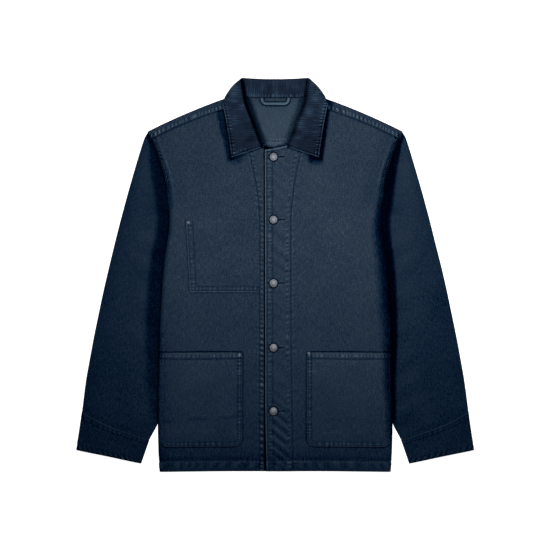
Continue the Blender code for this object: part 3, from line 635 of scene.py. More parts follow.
def back():
    """The back's shell: its sides turn inside the fronts', and a strip of it goes over each
    shoulder to the forward seam."""
    rows = paced(HEM, UPPER_START, (HEM + 8,), 3.5, 7)
    main = shares(0, 225, (0, 40), 3, 5.5, 30)
    grid, cloth = panel(
        rows, main, np.zeros_like, INNER_FOLD, BACK_NECKLINE,
        ((SHOULDER_FOLD[0] - PITCH, SHOULDER_FOLD[1]), FOLD_BOW), back_level,
        lambda a, y: sleeve_lift(a, y) + PITCH + CANVAS / 2, 34,
    )
    shrink = cover(-(grid[..., 1] - 118), 20) * ramp((grid[..., 0] - 190) / 20)
    grid[..., 0] -= 2.6 * shrink
    half = hem_relief(cloth[..., 0], cloth[..., 1], 90) * 0.6
    whole = np.concatenate([grid[:, :0:-1] * np.array([-1, 1, 1]), grid], axis=1)
    shape = np.concatenate([half[..., :0:-1], half], axis=2)
    x, y = whole[..., 0], whole[..., 1]
    worn = 0.36 * cover(np.abs(x) - 70, 12) * ramp((y - 225) / 8)
    above = y - np.maximum(curve(x, NECKLINE), curve(-x, NECKLINE))
    # painted shadow under the fronts' neck edges, and with neck_shade painted shade beside the collar's
    # rolls
    under_edge = 0.95 * cover(above - 0.5 - 2.5 * ramp((x + 12) / 30), 5) * (above > -6)
    inside_neck = (np.abs(x) < 66) * (y > 225)
    shape[1] += (worn - np.maximum(neck_shade(x, y), under_edge)) * inside_neck
    places = np.concatenate([cloth[:, :0:-1] * np.array([-1, 1]), cloth], axis=1)
    return joined([shell(whole, CANVAS, shape, places, under=0), *(shoulder_band(s) for s in (-1, 1))])


def shoulder_band(side):
    """The back's top edge: up over the shoulder on a small circle and down the front, to the
    stitched fold that laps over the front. Puckers stand just behind that fold."""
    fall = SHOULDER_FOLD[1]
    outward = np.array([fall, 1]) / np.hypot(fall, 1)
    count = 96
    a = np.linspace(77, 247.4, count)
    radius = 1.9
    fold = np.stack([a, shoulder_line(a, SHOULDER_FOLD, FOLD_BOW)], axis=1) - outward * (radius + 0.5)
    seam_a = np.linspace(80, 245.6, count)
    seam = np.stack([seam_a, shoulder_line(seam_a, SHOULDER_SEAM, SEAM_BOW) - 0.4], axis=1)
    low = back_level(fold[:, 0], fold[:, 1])
    columns = [np.column_stack([fold - outward * 8, low]), np.column_stack([fold - outward * 3, low])]
    for angle in np.linspace(0, np.pi, 8):
        plan = fold + outward * (radius * np.sin(angle))
        columns.append(np.column_stack([plan, low + radius * (1 - np.cos(angle))]))
    for share in np.linspace(0, 1, 21)[1:]:
        plan = fold + (seam - fold) * share
        on_front = front_level(plan[:, 0], plan[:, 1], side) + 1.15
        rolled = low + 2 * radius
        columns.append(np.column_stack([plan, rolled + (on_front - rolled) * ramp(share * 1.3)]))
    grid = np.stack(columns, axis=1)
    a, y = grid[..., 0], grid[..., 1]
    d = (y - shoulder_line(a, SHOULDER_SEAM, SEAM_BOW)) / np.hypot(1, fall)
    over = np.arange(grid.shape[1]) >= 10
    # painted highlight on the puckers behind the fold
    shape = stitched(d, a, 80 + side, pitch=7.4, spots=(4.5, 2.1), rows=(1.4,), pucker=0.42,
                     light=1.45, puff=0.2, groove=0.3, edge=0.2, drag=0.04, rim=0.2, sunk=0.05) * over
    fine = gathers(a, 3.7, 86 + side) * bell(d - 2.4, 1.3) * over
    # painted shade at the band's outer end
    end = 0.9 * ramp((a - 236) / 7) * cover(d - 5, 5) * over
    shape = shape + relief(0.1 * fine, 0.4 * fine + 0.1 * bell(d - 3.6, 2.3) * over - end)
    # painted shadow of the collar on the band beside it, mostly on the wearer's left
    beside = cover(a - (107 if side > 0 else 112), 10)
    shape[1] -= (0.6 if side > 0 else 0.1) * beside + 0.1
    return half_shell(side, grid, 0.9, shape, under=0)


# ---------------------------------------------------------------- sleeves and cuffs

def tube_plan(top, bottom, outer, inner):
    """Plan of a sleeve or cuff from its outer to its inner edge: ruled from top to bottom, and
    stretched so that it meets the two long edges."""
    w = np.linspace(0, 1, len(outer))[:, None, None]
    u = np.linspace(0, 1, len(top))[None, :, None]
    ruled = (1 - w) * top[None] + w * bottom[None]
    return ruled + (1 - u) * (outer[:, None] - ruled[:, :1]) + u * (inner[:, None] - ruled[:, -1:])


def outer_edge(y):
    return out_at(y, *SLEEVE_OUTER, CUFF_HEM[0])


def inner_edge(y):
    """What bounds the shown sleeve on its inner side: the body, or lower down its own seam."""
    return np.maximum(half_width(y), out_at(y, *SLEEVE_INNER[2:], CUFF_HEM[-1]))


CREASE_R, CUFF_DEPTH = 2.1, 61


def sleeve_swell(a, y, thickness):
    """Air in a sleeve: the upper wall rises between its two edges as one less a high power of the
    distance from the middle, and ends at the top of the outer crease's circle."""
    start, end = inner_edge(y), outer_edge(y)
    across = np.clip((a - start) / (end - start), 0, 1)
    room = ramp((end - start) / 90)
    crown = 1 - np.abs(2 * across - 1) ** 2.2
    uneven = 1 + 0.18 * wander(y, 70, 12) + 0.08 * ripple(a, y, 45, 13)
    return (2 * CREASE_R - thickness - 0.5) * ramp(across * 1.4 - 0.4) + 6.6 * room * crown * uneven


def tube(plan, thickness, upper_lift, lower_every=4):
    """A tube pressed flat. Its wall runs from the inner seam out along the top, round the outer
    crease on a half circle, and back below. Gives the grid and its unrolled coordinates."""
    outward = left_of(unit(np.gradient(plan[:, 0], axis=0)))
    low = thickness / 2
    gap = thickness + 0.5
    pull = (CREASE_R + thickness / 2) * np.clip(1 - np.linspace(0, 1, plan.shape[1]) * 12, 0, 1)
    plan = plan - outward[:, None] * pull[None, :, None]
    upper = np.concatenate([plan, (low + gap + upper_lift)[..., None]], axis=2)[:, ::-1]
    turn = []
    for angle in np.linspace(np.pi / 2, -np.pi / 2, 9)[1:-1]:
        bulge = plan[:, 0] + outward * CREASE_R * np.cos(angle)
        half = (gap + upper_lift[:, 0]) / 2
        turn.append(np.column_stack([bulge, low + half * (1 + np.sin(angle))]))
    lower = np.concatenate([plan, np.full((*plan.shape[:2], 1), low)], axis=2)
    keep = np.unique(np.append(np.arange(0, plan.shape[1], lower_every), plan.shape[1] - 1))
    inward = unit(plan[:, -1] - plan[:, -2])
    seam = np.column_stack([plan[:, -1] + inward * gap * 0.45, np.full(len(plan), low + gap / 2)])
    grid = np.concatenate(
        [seam[:, None], upper, np.array(turn).transpose(1, 0, 2), lower[:, keep], seam[:, None]], axis=1
    )
    step = np.linalg.norm(np.diff(grid[..., :2], axis=1), axis=2)
    across = np.concatenate([np.zeros((len(grid), 1)), np.cumsum(step, axis=1)], axis=1)
    down = run_of(plan[:, 0])[:, None]
    cloth = np.stack(np.broadcast_arrays(across, down), axis=2)
    return grid, cloth, plan.shape[1] + 1


def on_upper(shape, grid, upper):
    """Keeps a relief on the upper wall and round the crease, and drops it below."""
    return shape * (np.arange(grid.shape[1]) < upper + 6)


# How wide the painted shade is at the bottom of the hollow beside the body, and how wide it fades over the
# outer slope
RIGHT_HOLLOW = ((275, 3), (250, 5.4), (242, 6.7), (232, 10.3), (223, 13.3), (213, 15.2), (194, 16.6),
                (165, 18), (145, 18), (-50, 22), (-200, 15), (-290, 5))
LEFT_HOLLOW = ((275, 3), (250, 5.4), (242, 6.8), (230, 8.6), (213, 9.7), (194, 12), (170, 13.6),
               (145, 15.4), (95, 13), (-50, 11), (-150, 7), (-205, 3), (-290, 3))
RIGHT_SLOPE = ((260, 4), (225, 7), (200, 10), (150, 13))
LEFT_SLOPE = ((260, 4), (225, 7.5), (184, 10), (145, 11), (60, 8))


def sleeve(side):
    """A sleeve. Its upper wall climbs to the armhole seam, dips under the body's edge there, and
    falls into a hollow all along the body's side, which the tone darkens with painted shade. The
    tone also paints the whole sleeve darker than the body, more so towards the cuff."""
    sewn_y = np.linspace(SLEEVE_TOP, ARMHOLE_FOOT, 34)
    sewn = np.stack([half_width(sewn_y) - 1.3, sewn_y], axis=1)
    hidden = along([(205.6, 136), *SLEEVE_HIDDEN], 26)
    top = np.concatenate([sewn, hidden[1:]])
    bottom = along(CUFF_SEAM, len(top)) + np.array([0, -1.2])
    rows = 232
    plan = tube_plan(top, bottom, along(SLEEVE_OUTER, rows), along(SLEEVE_INNER, rows))
    a, y = plan[..., 0], plan[..., 1]
    edge_y = np.clip(y, ARMHOLE_FOOT - 8, SLEEVE_TOP)
    edge_a = half_width(edge_y)
    held = (body_lift(edge_a, edge_y) + 0.6) * ramp((y - 115.5) / 20)
    swell = sleeve_swell(a, y, CANVAS)
    dip = 0.95 * cover(a - edge_a, 8) * ramp((y - 112) / 20)
    seam_y = curve(a, CUFF_SEAM)
    tuck = 1.5 * cover(y - seam_y - 2, 12) * swell / (swell + 1.5)
    lift = held * cover(a - edge_a, 55) + swell - dip - tuck
    grid, cloth, upper = tube(plan, CANVAS, np.maximum(lift, 0))
    a, y = grid[..., 0], grid[..., 1]
    body = a - half_width(np.clip(y, -288, SLEEVE_TOP))
    floor_of, slope_of = (LEFT_HOLLOW, LEFT_SLOPE) if side > 0 else (RIGHT_HOLLOW, RIGHT_SLOPE)
    # painted shade in the hollow beside the body
    hollow_shade = cover(body - curve(y, floor_of), curve(y, slope_of)) * ramp((y + 300) / 30)
    depth = curve(y, ((-290, 0.34), (-190, 0.36), (-120, 0.46), (0, 0.47), (100, 0.46))) if side < 0 else 0.8
    drag = gathers(y + 0.2 * a, 13, 20 + side) * fade(body, 16) * ramp((y - 120) / 30)
    folds = ripple(a * 0.9 + y * 0.2, y * 0.45, 30, 24 + side)
    bent = ramp((120 - y) / 60) * bell(a - inner_edge(y) - 20, 28)
    elbow = gathers(y - 0.55 * a + 150, 62, 26 + side) * bent
    end = y - curve(a, CUFF_SEAM)
    near = gathers(a, 9, 28 + side) * fade(end, 7)
    height = 0.35 * drag + 0.3 * folds + 0.7 * elbow + 0.35 * near
    outer = outer_edge(y) - a
    # painted highlight on drags, folds, elbow and cuff puckers and along the ridge; painted shade at the
    # cuff seam and round the outer crease
    tone = -hollow_shade * depth + 0.1 * drag + 0.05 * folds + 0.08 * elbow + 0.12 * near - 0.12 * bell(end, 2.2)
    tone = tone + 0.08 * bell(body - 40, 24) * ramp((y + 320) / 120)
    tone = tone - (0.08 if side < 0 else 0.03) * fade(outer, 14)
    # painted shade: the whole sleeve darker, more so towards the cuff
    if side < 0:
        tone = tone - 0.31 - 0.1 * ramp((-80 - y) / 150) * (1 - hollow_shade)
    else:
        tone = tone - 0.2 - 0.12 * ramp((150 - y) / 220) - 0.06 * ramp((-60 - y) / 200)
    shape = on_upper(relief(height, tone), grid, upper)
    return half_shell(side, grid, CANVAS, shape, cloth, under=0.2, downward=True)


def cuff(side):
    """A cuff. Its stitched top edge laps over the sleeve, and its hem has a row of stitches."""
    count = 62
    top, bottom = along(CUFF_SEAM, count), along(CUFF_HEM, count)
    rows = 46
    outer, inner = (np.linspace(top[i], bottom[i], rows) for i in (0, -1))
    plan = tube_plan(top, bottom, outer, inner)
    a, y = plan[..., 0], plan[..., 1]
    d = np.linspace(0, 1, rows)[:, None] * np.linalg.norm(top - bottom, axis=1)[None]
    lift = sleeve_swell(a, y, CUFF_WALL) + 0.9 * cover(d, 14) * ramp(sleeve_swell(a, y, CUFF_WALL) / 3)
    grid, cloth, upper = tube(plan, CUFF_WALL, lift)
    d_grid = np.broadcast_to(np.linspace(0, 1, rows)[:, None] * CUFF_DEPTH, grid.shape[:2])
    a = grid[..., 0]
    seam = stitched(d_grid, a, 110 + side, pitch=8.6, spots=(7, 2.8), rows=(2.8, 10.5), pucker=0.4,
                    light=0.36, puff=0.2, groove=0.3, edge=0.45, drag=0.3, rim=1.7)
    foot = stitched(CUFF_DEPTH - d_grid, a, 114 + side, pitch=7.4, spots=(12.5, 3.4), rows=(9.6,),
                    pucker=0.35, light=0.16, puff=0.15, groove=0.3, edge=0, drag=0.1)
    rope = gathers(a + 0.6 * d_grid, 10, 118 + side) * bell(CUFF_DEPTH - d_grid - 5, 4)
    soft = ripple(a, d_grid, 26, 119 + side)
    # painted highlight on the hem's ropes; painted shade at the hem, over the whole cuff, and towards its
    # outer crease
    tone = 0.45 * rope - 0.3 * bell(CUFF_DEPTH - d_grid, 2.2) + 0.05 * soft - (0.46 if side < 0 else 0.4)
    tone = tone - 0.06 * fade(outer_edge(grid[..., 1]) - a, 10)
    shape = on_upper(seam + foot + relief(0.35 * rope + 0.3 * soft, tone), grid, upper)
    return half_shell(side, grid, CUFF_WALL, shape, cloth, under=0.1, downward=True)


# ---------------------------------------------------------------- collar

WALE = 2.05
ROLL_TOP, FALL = 11, 17  # columns of a collar side where the roll's upper half and the fall begin
STAND_HALF, ROLL_HALF = 73.5, 65  # half widths of the collar's back at its foot and its roll
SIDE_TURN = 4.5  # how far the fall's turn to the back of the neck stands out


def wales(s, t, seed, strength=1):
    """Corduroy along t: ribs `WALE` wide across s, rubbed flatter here and there. Every second
    rib or so catches the light along some centimetres of it, as the pile leans this way and that."""
    rub = 0.75 + 0.25 * ripple(s, t * 0.4, 9, seed)
    rib = np.abs(np.cos(np.pi * s / WALE)) ** 0.8
    strayed = s / 4.1 + 0.5 * wander(s, 13, seed + 3) + 0.12 * ripple(s / 9, t / 26, 1, seed + 5)
    lean = np.cos(2 * np.pi * strayed)
    caught = np.clip(0.45 + 0.75 * ripple(s / 6, t / 15, 1, seed + 4), 0, 1)
    # painted light in the tone: streaks of highlight where the pile catches the light, rib tops lighter and
    # valleys darker
    streak = 0.75 * lean * caught + 0.5 * ripple(s / 2.2, t / 11, 1, seed + 6)
    streak = streak + 0.55 * ripple(s / 12, t / 16, 1, seed + 7)
    return relief(0.34 * rib * rub + 0.12 * streak, strength * (0.3 * (rib - 0.6) + 0.34 * streak) - 0.12)


def collar_side():
    """The two ends of the line where the fall turns to the back of the neck, and the unit vector
    that points out of it."""
    start, end = np.array(ROLL[0]), np.array(COLLAR_SIDE)
    return start, end, left_of(unit(end - start))


def wing(side):
    """One side of the collar. Each row stands up from the neck seam, rolls over on a half circle
    and falls to the outer edge, which springs clear of the front; ribs run along the rows."""
    rows = 262
    start, end, outward = collar_side()
    roll = along([start - outward * SIDE_TURN, *ROLL[1:]], rows)
    edge = along([end - outward * SIDE_TURN, (101.6, 331), (99, 318), (94.5, 295), COLLAR_TIP], rows)
    foot = along(STAND_FOOT, rows)
    v = np.linspace(0, 1, rows)
    inward = unit(roll - edge)

    def resting(plan, gap):
        return front_level(plan[:, 0], plan[:, 1], side) + CANVAS / 2 + gap + CORDUROY / 2

    low = resting(roll, 0.3)
    radius = 3.9 - 1.5 * ramp((v - 0.35) / 0.65)
    hub = roll - inward * (radius + CORDUROY / 2)[:, None]
    columns = []
    for u in np.linspace(1, 0.15, 6):
        plan = hub + (foot - hub) * u
        columns.append(np.column_stack([plan, resting(plan, 0.3)]))
    for angle in np.linspace(-np.pi / 2, np.pi / 2, 11):
        plan = hub + inward * (radius * np.cos(angle))[:, None]
        columns.append(np.column_stack([plan, low + radius * (1 + np.sin(angle))]))
    top = low + 2 * radius
    for u in np.concatenate([np.linspace(0, 0.8, 20)[1:], np.linspace(0.8, 1, 9)[1:]]):
        plan = hub + (edge - hub) * u + outward * (12 * u * (1 - u) * cover(v, 0.16))[:, None]
        spring = 3.2 + 2.6 * ramp((u - 0.45) / 0.5) + 1.6 * ramp((v - 0.6) / 0.4) * ramp((u - 0.3) / 0.7)
        share = ramp(u * 1.15)
        columns.append(np.column_stack([plan, top * (1 - share) + (resting(plan, 0) + spring) * share]))
    grid = np.stack(columns, axis=1)
    x, y = grid[..., 0], grid[..., 1]
    shape = wales(y - 0.02 * x, x, 130 + side, 1.2)
    side_gap = 0.985 * np.linalg.norm(grid[..., :2] - edge[:, None], axis=2)
    lower = beyond(x, y, ROLL[-1], COLLAR_TIP)
    row = dict(spots=(6.2, 2.3), rows=(3,), pucker=0.35, groove=0.35, edge=0.35, drag=0.15, rim=0.55)
    # painted highlight on the edges' puckers and beads
    outer = stitched(side_gap, y, 134 + side, pitch=6.2, light=0.85, **row)
    front_edge = stitched(lower, x, 138 + side, pitch=5.8, light=0.95, **row)
    fall = np.arange(len(columns)) >= FALL
    quiet = 1 - 0.7 * np.maximum(bell(side_gap, 2.2), bell(lower, 2.2)) * fall
    swell = relief(0.8 * ripple(x, y, 26, 142 + side), 0) * fall
    shape = shape * quiet + (outer + front_edge) * fall + swell
    across = np.linspace(0, 1, len(columns) - FALL)[None]
    # painted shade on the roll and beside it on the fall, deeper on the wearer's right; the fall's upper
    # part lighter
    hollow_shade = np.full(x.shape, 1.3)
    dark, spread = (1.3, 4.5) if side < 0 else (0.5, 6)
    from_roll = np.linalg.norm(grid[:, FALL:, :2] - roll[:, None], axis=2)
    hollow_shade[:, FALL:] = dark * bell(from_roll, spread) - 0.3 * ramp((y[:, FALL:] - 262) / 60)
    hollow_shade[:, FALL:] += (0.2 if side < 0 else 0.12) - 0.1 * bell(across - 0.3, 0.25)
    hollow_shade[:, ROLL_TOP:FALL] = dark
    shape = shape - relief(0, hollow_shade)
    crease = side_crease(side, grid[0, ROLL_TOP:], shape[:, 0, ROLL_TOP:])
    return [half_shell(side, grid, CORDUROY, shape, under=0, bead=0.5, downward=True), crease]


def side_crease(side, line, line_shape):
    """The fall where it turns to the back of the neck: from the wing's first row on over a half
    circle and under, the same ribs carried on."""
    outward = collar_side()[2]
    low = CORDUROY / 2
    radius = (line[:, 2] - low) / 2
    reach = SIDE_TURN - CORDUROY / 2
    rows = []
    for angle in np.linspace(np.pi / 2, -np.pi / 2, 13):
        plan = line[:, :2] + outward * (reach * np.cos(angle))
        rows.append(np.column_stack([plan, low + radius * (1 + np.sin(angle))]))
    rows.append(np.column_stack([line[:, :2] - outward * 9, np.full(len(line), low)]))
    grid = np.array(rows)[::-1]
    shape = np.broadcast_to(line_shape[:, None], (2, len(rows), len(line))).copy()
    shape[0] *= np.linspace(0, 1, len(rows))[:, None]
    return half_shell(side, grid, CORDUROY, shape, under=0, bead=0.3, downward=True)


def collar_back():
    """The stand inside the neck, over a roll at the top, and the fall below it on the floor. The
    neck seam gathers its foot into short upright puckers."""
    across = np.linspace(-1, 1, 330)
    stand, fall = 4.4, CORDUROY / 2
    radius = (stand + 1.4 - fall) / 2
    hub = TOP + 0.8 - radius - CORDUROY / 2
    foot_a = STAND_HALF * across
    foot_y = curve(np.abs(foot_a), BACK_NECKLINE) + 0.4
    rows = [
        (STAND_HALF + (ROLL_HALF - STAND_HALF) * u, foot_y + (hub - foot_y) * u, stand + 1.4 * ramp(u))
        for u in np.linspace(0, 1, 15)[:-1]
    ]
    sag = 2.6 * (1 - across**2)
    for angle in np.linspace(np.pi / 2, -np.pi / 2, 10):
        rows.append((ROLL_HALF, hub + radius * np.cos(angle) - sag, fall + radius * (1 + np.sin(angle))))
    rows += [(half, y, fall) for y, half in ((372, 69), (360, 78), (344, 91), (329, 93))]
    grid = np.array([np.stack(np.broadcast_arrays(half * across, y, z), axis=1) for half, y, z in rows])
    x, y = grid[..., 0], grid[..., 1]
    d = y - foot_y[None]
    row = np.arange(len(rows))[:, None]
    up = row < 15
    shape = wales(x + 1.2 * ripple(x, y, 9, 157), y, 150, 0.8)
    shape[0] *= row < 20
    pulled = gathers(x, 6, 154)
    pucker = bell(d - 4, 3.2) * up
    side_shade = ramp((np.abs(x) - out_at(y, *ROLL[:2]) + 8) / 8) * up
    swell = ripple(x, y, 13, 156) * up
    seam = bell(d, 1.4) * up
    # painted highlight on the puckers; painted shade beside the wings' rolls and in the neck seam
    tone = (0.3 + 0.5 * pulled) * pucker + 0.12 * swell - 1.1 * side_shade - 0.7 * seam + 0.08 * up
    extra = relief(0.5 * pulled * pucker + 0.3 * swell - 0.4 * seam, tone)
    return shell(grid, CORDUROY, shape + extra, under=0, bead=0.4)


def collar():
    return joined([collar_back(), *wing(-1), *wing(1)])


# ---------------------------------------------------------------- inside the neck

def neck_shade(x, y):
    """Painted shade inside the neck beside the two rolls of the collar, more on the wearer's right."""
    roll = out_at(y, *ROLL[1:])
    return np.where(x < 0, 1.05 * cover(roll + x - 2, 13), 0.7 * cover(roll - x - 1, 15))


LOOP_R, LOOP_BEND = 3.1, 8  # half width of the hanger loop's strip, and the radius of its corners


def neck_facing():
    """Half moon inside the back neck, with a stitched lower edge."""
    table = ((259.6, 16), (262.6, 33), (286, 55), (306, 65), (326, 73), (342.8, 71.5))
    foot, head = table[0][0], table[-1][0]
    y = paced(foot, head, (260, 342), 1.4, 3)[:, None]
    x = curve(y, table) * np.linspace(-1, 1, 61)[None]
    y = np.broadcast_to(y, x.shape)
    z = back_level(x, y) + CANVAS / 2 + 0.5 + FACING / 2 + 0.5 * ramp((y - 268) / 20)
    d = y - foot
    wave = gathers(x, 6, 160)
    top = fade(341 - y, 9)
    height = 0.25 * wave * bell(d - 3.6, 2) - 0.25 * bell(d - 1.8, 1) + 0.2 * gathers(x, 9, 161) * top
    # painted shade beside the collar's rolls
    shade = neck_shade(x, y)
    past, down = np.clip(np.abs(x) - 17.5, 0, None), np.clip(340.6 - y, 0, None)
    # painted shadow round the hanger loop
    loop_gap = np.abs(np.hypot(past, down) - LOOP_BEND) - LOOP_R
    shade = shade + 0.9 * cover(loop_gap - 0.8, 2.2) * (loop_gap > -2)
    # painted highlight on the puckers along the stitched edge, painted shade at the edge and near the neck
    # seam
    tone = (0.05 + 1.25 * np.clip(wave, 0, 1)) * bell(d - 3.6, 1.7) * cover(np.abs(x - 8) - 14, 10)
    tone = tone - 0.1 * bell(d - 0.8, 1.4) - shade - 0.15 * top
    return shell(np.stack([x, y, z], axis=2), FACING, relief(height, tone), under=0, bead=0.3)


def hanger_loop():
    """A rolled strip carried along a rounded U that hangs from the neck seam: an oval section
    with a stitched groove along its middle."""
    turn = np.radians(np.linspace(0, 90, 14))
    corner = LOOP_BEND * np.stack([1 - np.cos(turn), 1 - np.sin(turn)], axis=1) + np.array([-25.5, 332.8])
    legs = np.linspace((-26.4, 343.4), corner[0], 5)[:-1]
    half = np.concatenate([legs, corner, np.linspace(corner[-1], (0, 332.8), 10)[1:]])
    path = np.concatenate([half, (half[:-1] * np.array([-1, 1]))[::-1]])
    across = -left_of(unit(np.gradient(path, axis=0)))
    below = back_level(path[:, 0], path[:, 1]) + CANVAS / 2 + 0.5 + FACING + 0.6
    angle = np.linspace(0, 2 * np.pi, 29)
    length = run_of(path)
    uneven = 1 + 0.06 * wander(length, 6, 170)[:, None]
    plan = path[:, None] + across[:, None] * (LOOP_R * np.cos(angle) * uneven)[..., None]
    dent = 0.45 * bell(np.cos(angle) + 0.45, 0.22) * (np.sin(angle) > 0)
    z = below[:, None] + 0.4 + (1.5 + 1.5 * np.sin(angle) - dent) * uneven
    grid = np.concatenate([plan, z[..., None]], axis=2)
    # painted highlight on the strip's top, painted shade on its underside and in its groove
    tone = np.clip(np.sin(angle), 0, 1) ** 2 - 1.2 * (np.sin(angle) < 0.2) - 0.9 * dent
    places = np.stack(np.broadcast_arrays(length[:, None], LOOP_R * angle[None]), axis=2)
    points = grid[:, :-1]
    count, sides = points.shape[:2]
    index = np.arange(count * sides).reshape(count, sides)
    faces = quads(np.concatenate([index, index[:, :1]], axis=1))
    caps = []
    for ring, back_to_front in ((index[0], False), (index[-1], True)):
        left, right = ring[:sides // 2], ring[:sides // 2 - 1:-1]
        cap = np.stack([left[:-1], left[1:], right[1:], right[:-1]], axis=1)
        caps.append(cap[:, ::-1] if back_to_front else cap)
    faces = np.concatenate([faces[:, ::-1], *caps])
    tones = np.broadcast_to(tone, (count, sides + 1))[:, :-1].ravel()
    return points.reshape(-1, 3), faces, tones, places[:, :-1].reshape(-1, 2)


# ---------------------------------------------------------------- pockets

def rounded_gap(a, y, inner, foot, outer, corner):
    """Distance in from the sides and foot of a patch with two rounded lower corners."""
    sides = np.minimum(a - inner, outer - a)
    down = y - foot
    in_corner = (sides < corner) & (down < corner)
    round_off = corner - np.hypot(np.clip(corner - sides, 0, None), np.clip(corner - down, 0, None))
    return np.where(in_corner, round_off, np.minimum(sides, down))


def patch_top(a, y, side):
    """Upper face of a patch pocket's cloth, without its relief."""
    return front_shape(a, y, side) + CANVAS * 1.5 + PATCH_GAP


def patch(side, box, outer_edge_of, row_marks, shape_of, columns, lift=0):
    """A patch pocket: rows of even height between its two sides, which draw in round the lower
    corners on a quarter circle. It follows the front below it."""
    inner, foot, mouth, corner = box["inner"], box["foot"], box["mouth"], box["corner"]
    low = foot + corner * (1 - np.cos(np.linspace(0, np.pi / 2, 12)))
    ys = np.concatenate([low, paced(foot + corner, mouth, row_marks, 1.4, 3)[1:]])[:, None]
    sunk = (foot + corner - np.minimum(ys, foot + corner)) / corner
    cut = corner * (1 - np.sqrt(np.clip(1 - sunk**2, 0, 1)))
    outer = outer_edge_of(ys)
    span = outer - inner - 2 * cut
    a = inner + cut + span * columns[None]
    y = np.broadcast_to(ys, a.shape)
    gap = rounded_gap(a, y, inner, foot, outer, corner)
    shape = shape_of(a, y, gap)
    swell = lift * ramp(gap / 30) * cover(y - mouth + 25, 25)
    z = front_shape(a, y, side) + CANVAS + PATCH_GAP + swell
    return half_shell(side, np.stack([a, y, z], axis=2), CANVAS, shape, under=0.05)


def hip_outer(y):
    return half_width(y) - HIP_INSET


def hip_relief(side):
    box = HIP[side]

    def shape(a, y, gap):
        """Two rows of stitches round the patch and a bulging mouth hem with dense puckers, a soft
        press crease across it, and a short swell near its inner side."""
        down = y - box["foot"] <= gap + 0.01
        row = dict(rows=(2.2, 8.6), light=0.72, groove=0.3, edge=0.4)
        sides = stitched(gap, y, 180 + side, pitch=5.6, spots=(5.4, 2.4), pucker=0.34, drag=0.25,
                         rim=0.3, **row)
        foot = stitched(gap, a, 184 + side, pitch=9, spots=(5.4, 2.6), pucker=0.42, drag=0.3, rim=0.2, **row)
        facing_in = ramp((box["inner"] + 60 - a) / 20)
        sides[1] *= 0.3 + 0.7 * facing_in
        round_edge = np.where(down, foot, sides)
        from_mouth = box["mouth"] - y
        bulge = ramp(from_mouth / 2.5) * cover(from_mouth - 9, 3.5)
        dense = gathers(a, 5.4, 190 + side)
        sag = 12.4 + bell(a - 145, 50)
        line = bell(from_mouth - sag, 1.3)
        below = fade(from_mouth - sag, 7) * ramp((from_mouth - sag) / 2)
        height = (0.75 + 0.3 * dense) * bulge - 0.5 * line + 0.3 * dense * below
        # painted highlight on the mouth hem's dense puckers, painted shade in its stitch line
        tone = 0.05 * bulge + 0.95 * np.clip(dense, -0.3, 1) * bell(from_mouth - 6.4, 2.4)
        tone = tone - 0.36 * line + 0.2 * dense * below
        # painted shade towards the hem and where the body rounds away
        tone = tone - body_shade(y) - edge_shade(a, y, side) + (0.03 if side < 0 else 0.08)
        tack = bell(hip_outer(y) - a - 4, 1.7) * cover(np.abs(from_mouth - 5) - 4, 2)
        # painted highlight and shade across the bar tack's stitches
        height, tone = height + 0.5 * tack, tone + 0.7 * tack * np.cos(2 * np.pi * from_mouth / 2.6)
        press = bell(y + 281 + 0.03 * (a - 150) + 2.5 * wander(a, 40, 194 + side), 2.6)
        hint = 0.5 + 0.5 * wander(a, 30, 196 + side)
        soft = ripple(a, y, 34, 198 + side)
        near_side = bell(y + 190, 3.5) * bell(a - 70, 9)
        height = height + 0.5 * press * hint + 0.3 * soft + 0.4 * near_side
        # painted shade in the press crease, painted highlight on the swell by the inner side
        tone = tone - (0.36 if side < 0 else 0.12) * press * hint + 0.04 * soft + 0.2 * near_side
        return round_edge + relief(height, tone)
    return shape


def chest_outer(y):
    """How far out the chest pocket's outer edge is: it slants in towards the foot."""
    return CHEST_OUTER - 7.4 * np.clip((CHEST["mouth"] - y) / (CHEST["mouth"] - CHEST["foot"]), 0, 1)


def chest_relief(a, y, gap):
    """Stitched sides and foot; the mouth is plain, and the side nearest the front edge runs into
    the facing's stitch line."""
    outer = chest_outer(y) - a
    down = y - CHEST["foot"]
    far = stitched(outer, y, 200, pitch=7.8, spots=(7, 3), rows=(2.4, 12.4), pucker=0.3, light=0.42,
                   groove=0.25, edge=0.4, drag=0.15)
    foot = stitched(down, a, 204, pitch=8.8, spots=(6.6, 2.6), rows=(2.4, 10.4), pucker=0.34, light=0.5,
                    groove=0.25, edge=0.4, drag=0.2)
    near = stitched(a - CHEST["inner"], y, 208, pitch=9.8, spots=(5, 2.6), rows=(1.6,), pucker=0.2,
                    light=0.25, groove=0.2, edge=0.2, drag=0.1)
    mouth = CHEST["mouth"] - y
    top = relief(0.08 * bell(mouth - 1.2, 1.8), 0.05 * bell(mouth - 1.2, 1.8))
    shared = np.where(outer < down, far, foot)
    return shared + near * 0.8 + top + relief(0.2 * ripple(a, y, 40, 209), -0.06)


def hip_pocket(side):
    columns = shares(0, 162, (0, 8, 154, 162), 1.4, 3.2, 7)
    return patch(side, HIP[side], hip_outer, (-333, -152, -164), hip_relief(side), columns, 0.9)


def chest_pocket():
    columns = shares(0, 142.2, (0, 8, 132, 142), 1.4, 3.4, 7)
    return patch(-1, CHEST, chest_outer, (-32, -22, 104), chest_relief, columns)


# ---------------------------------------------------------------- thread, buttons and rivets

def top_of_front(x, y, side):
    """Upper face of a front at (x, y), relief and all."""
    a = side * x
    return front_shape(a, y, side) + CANVAS / 2 + front_relief(a, y, side)[0]


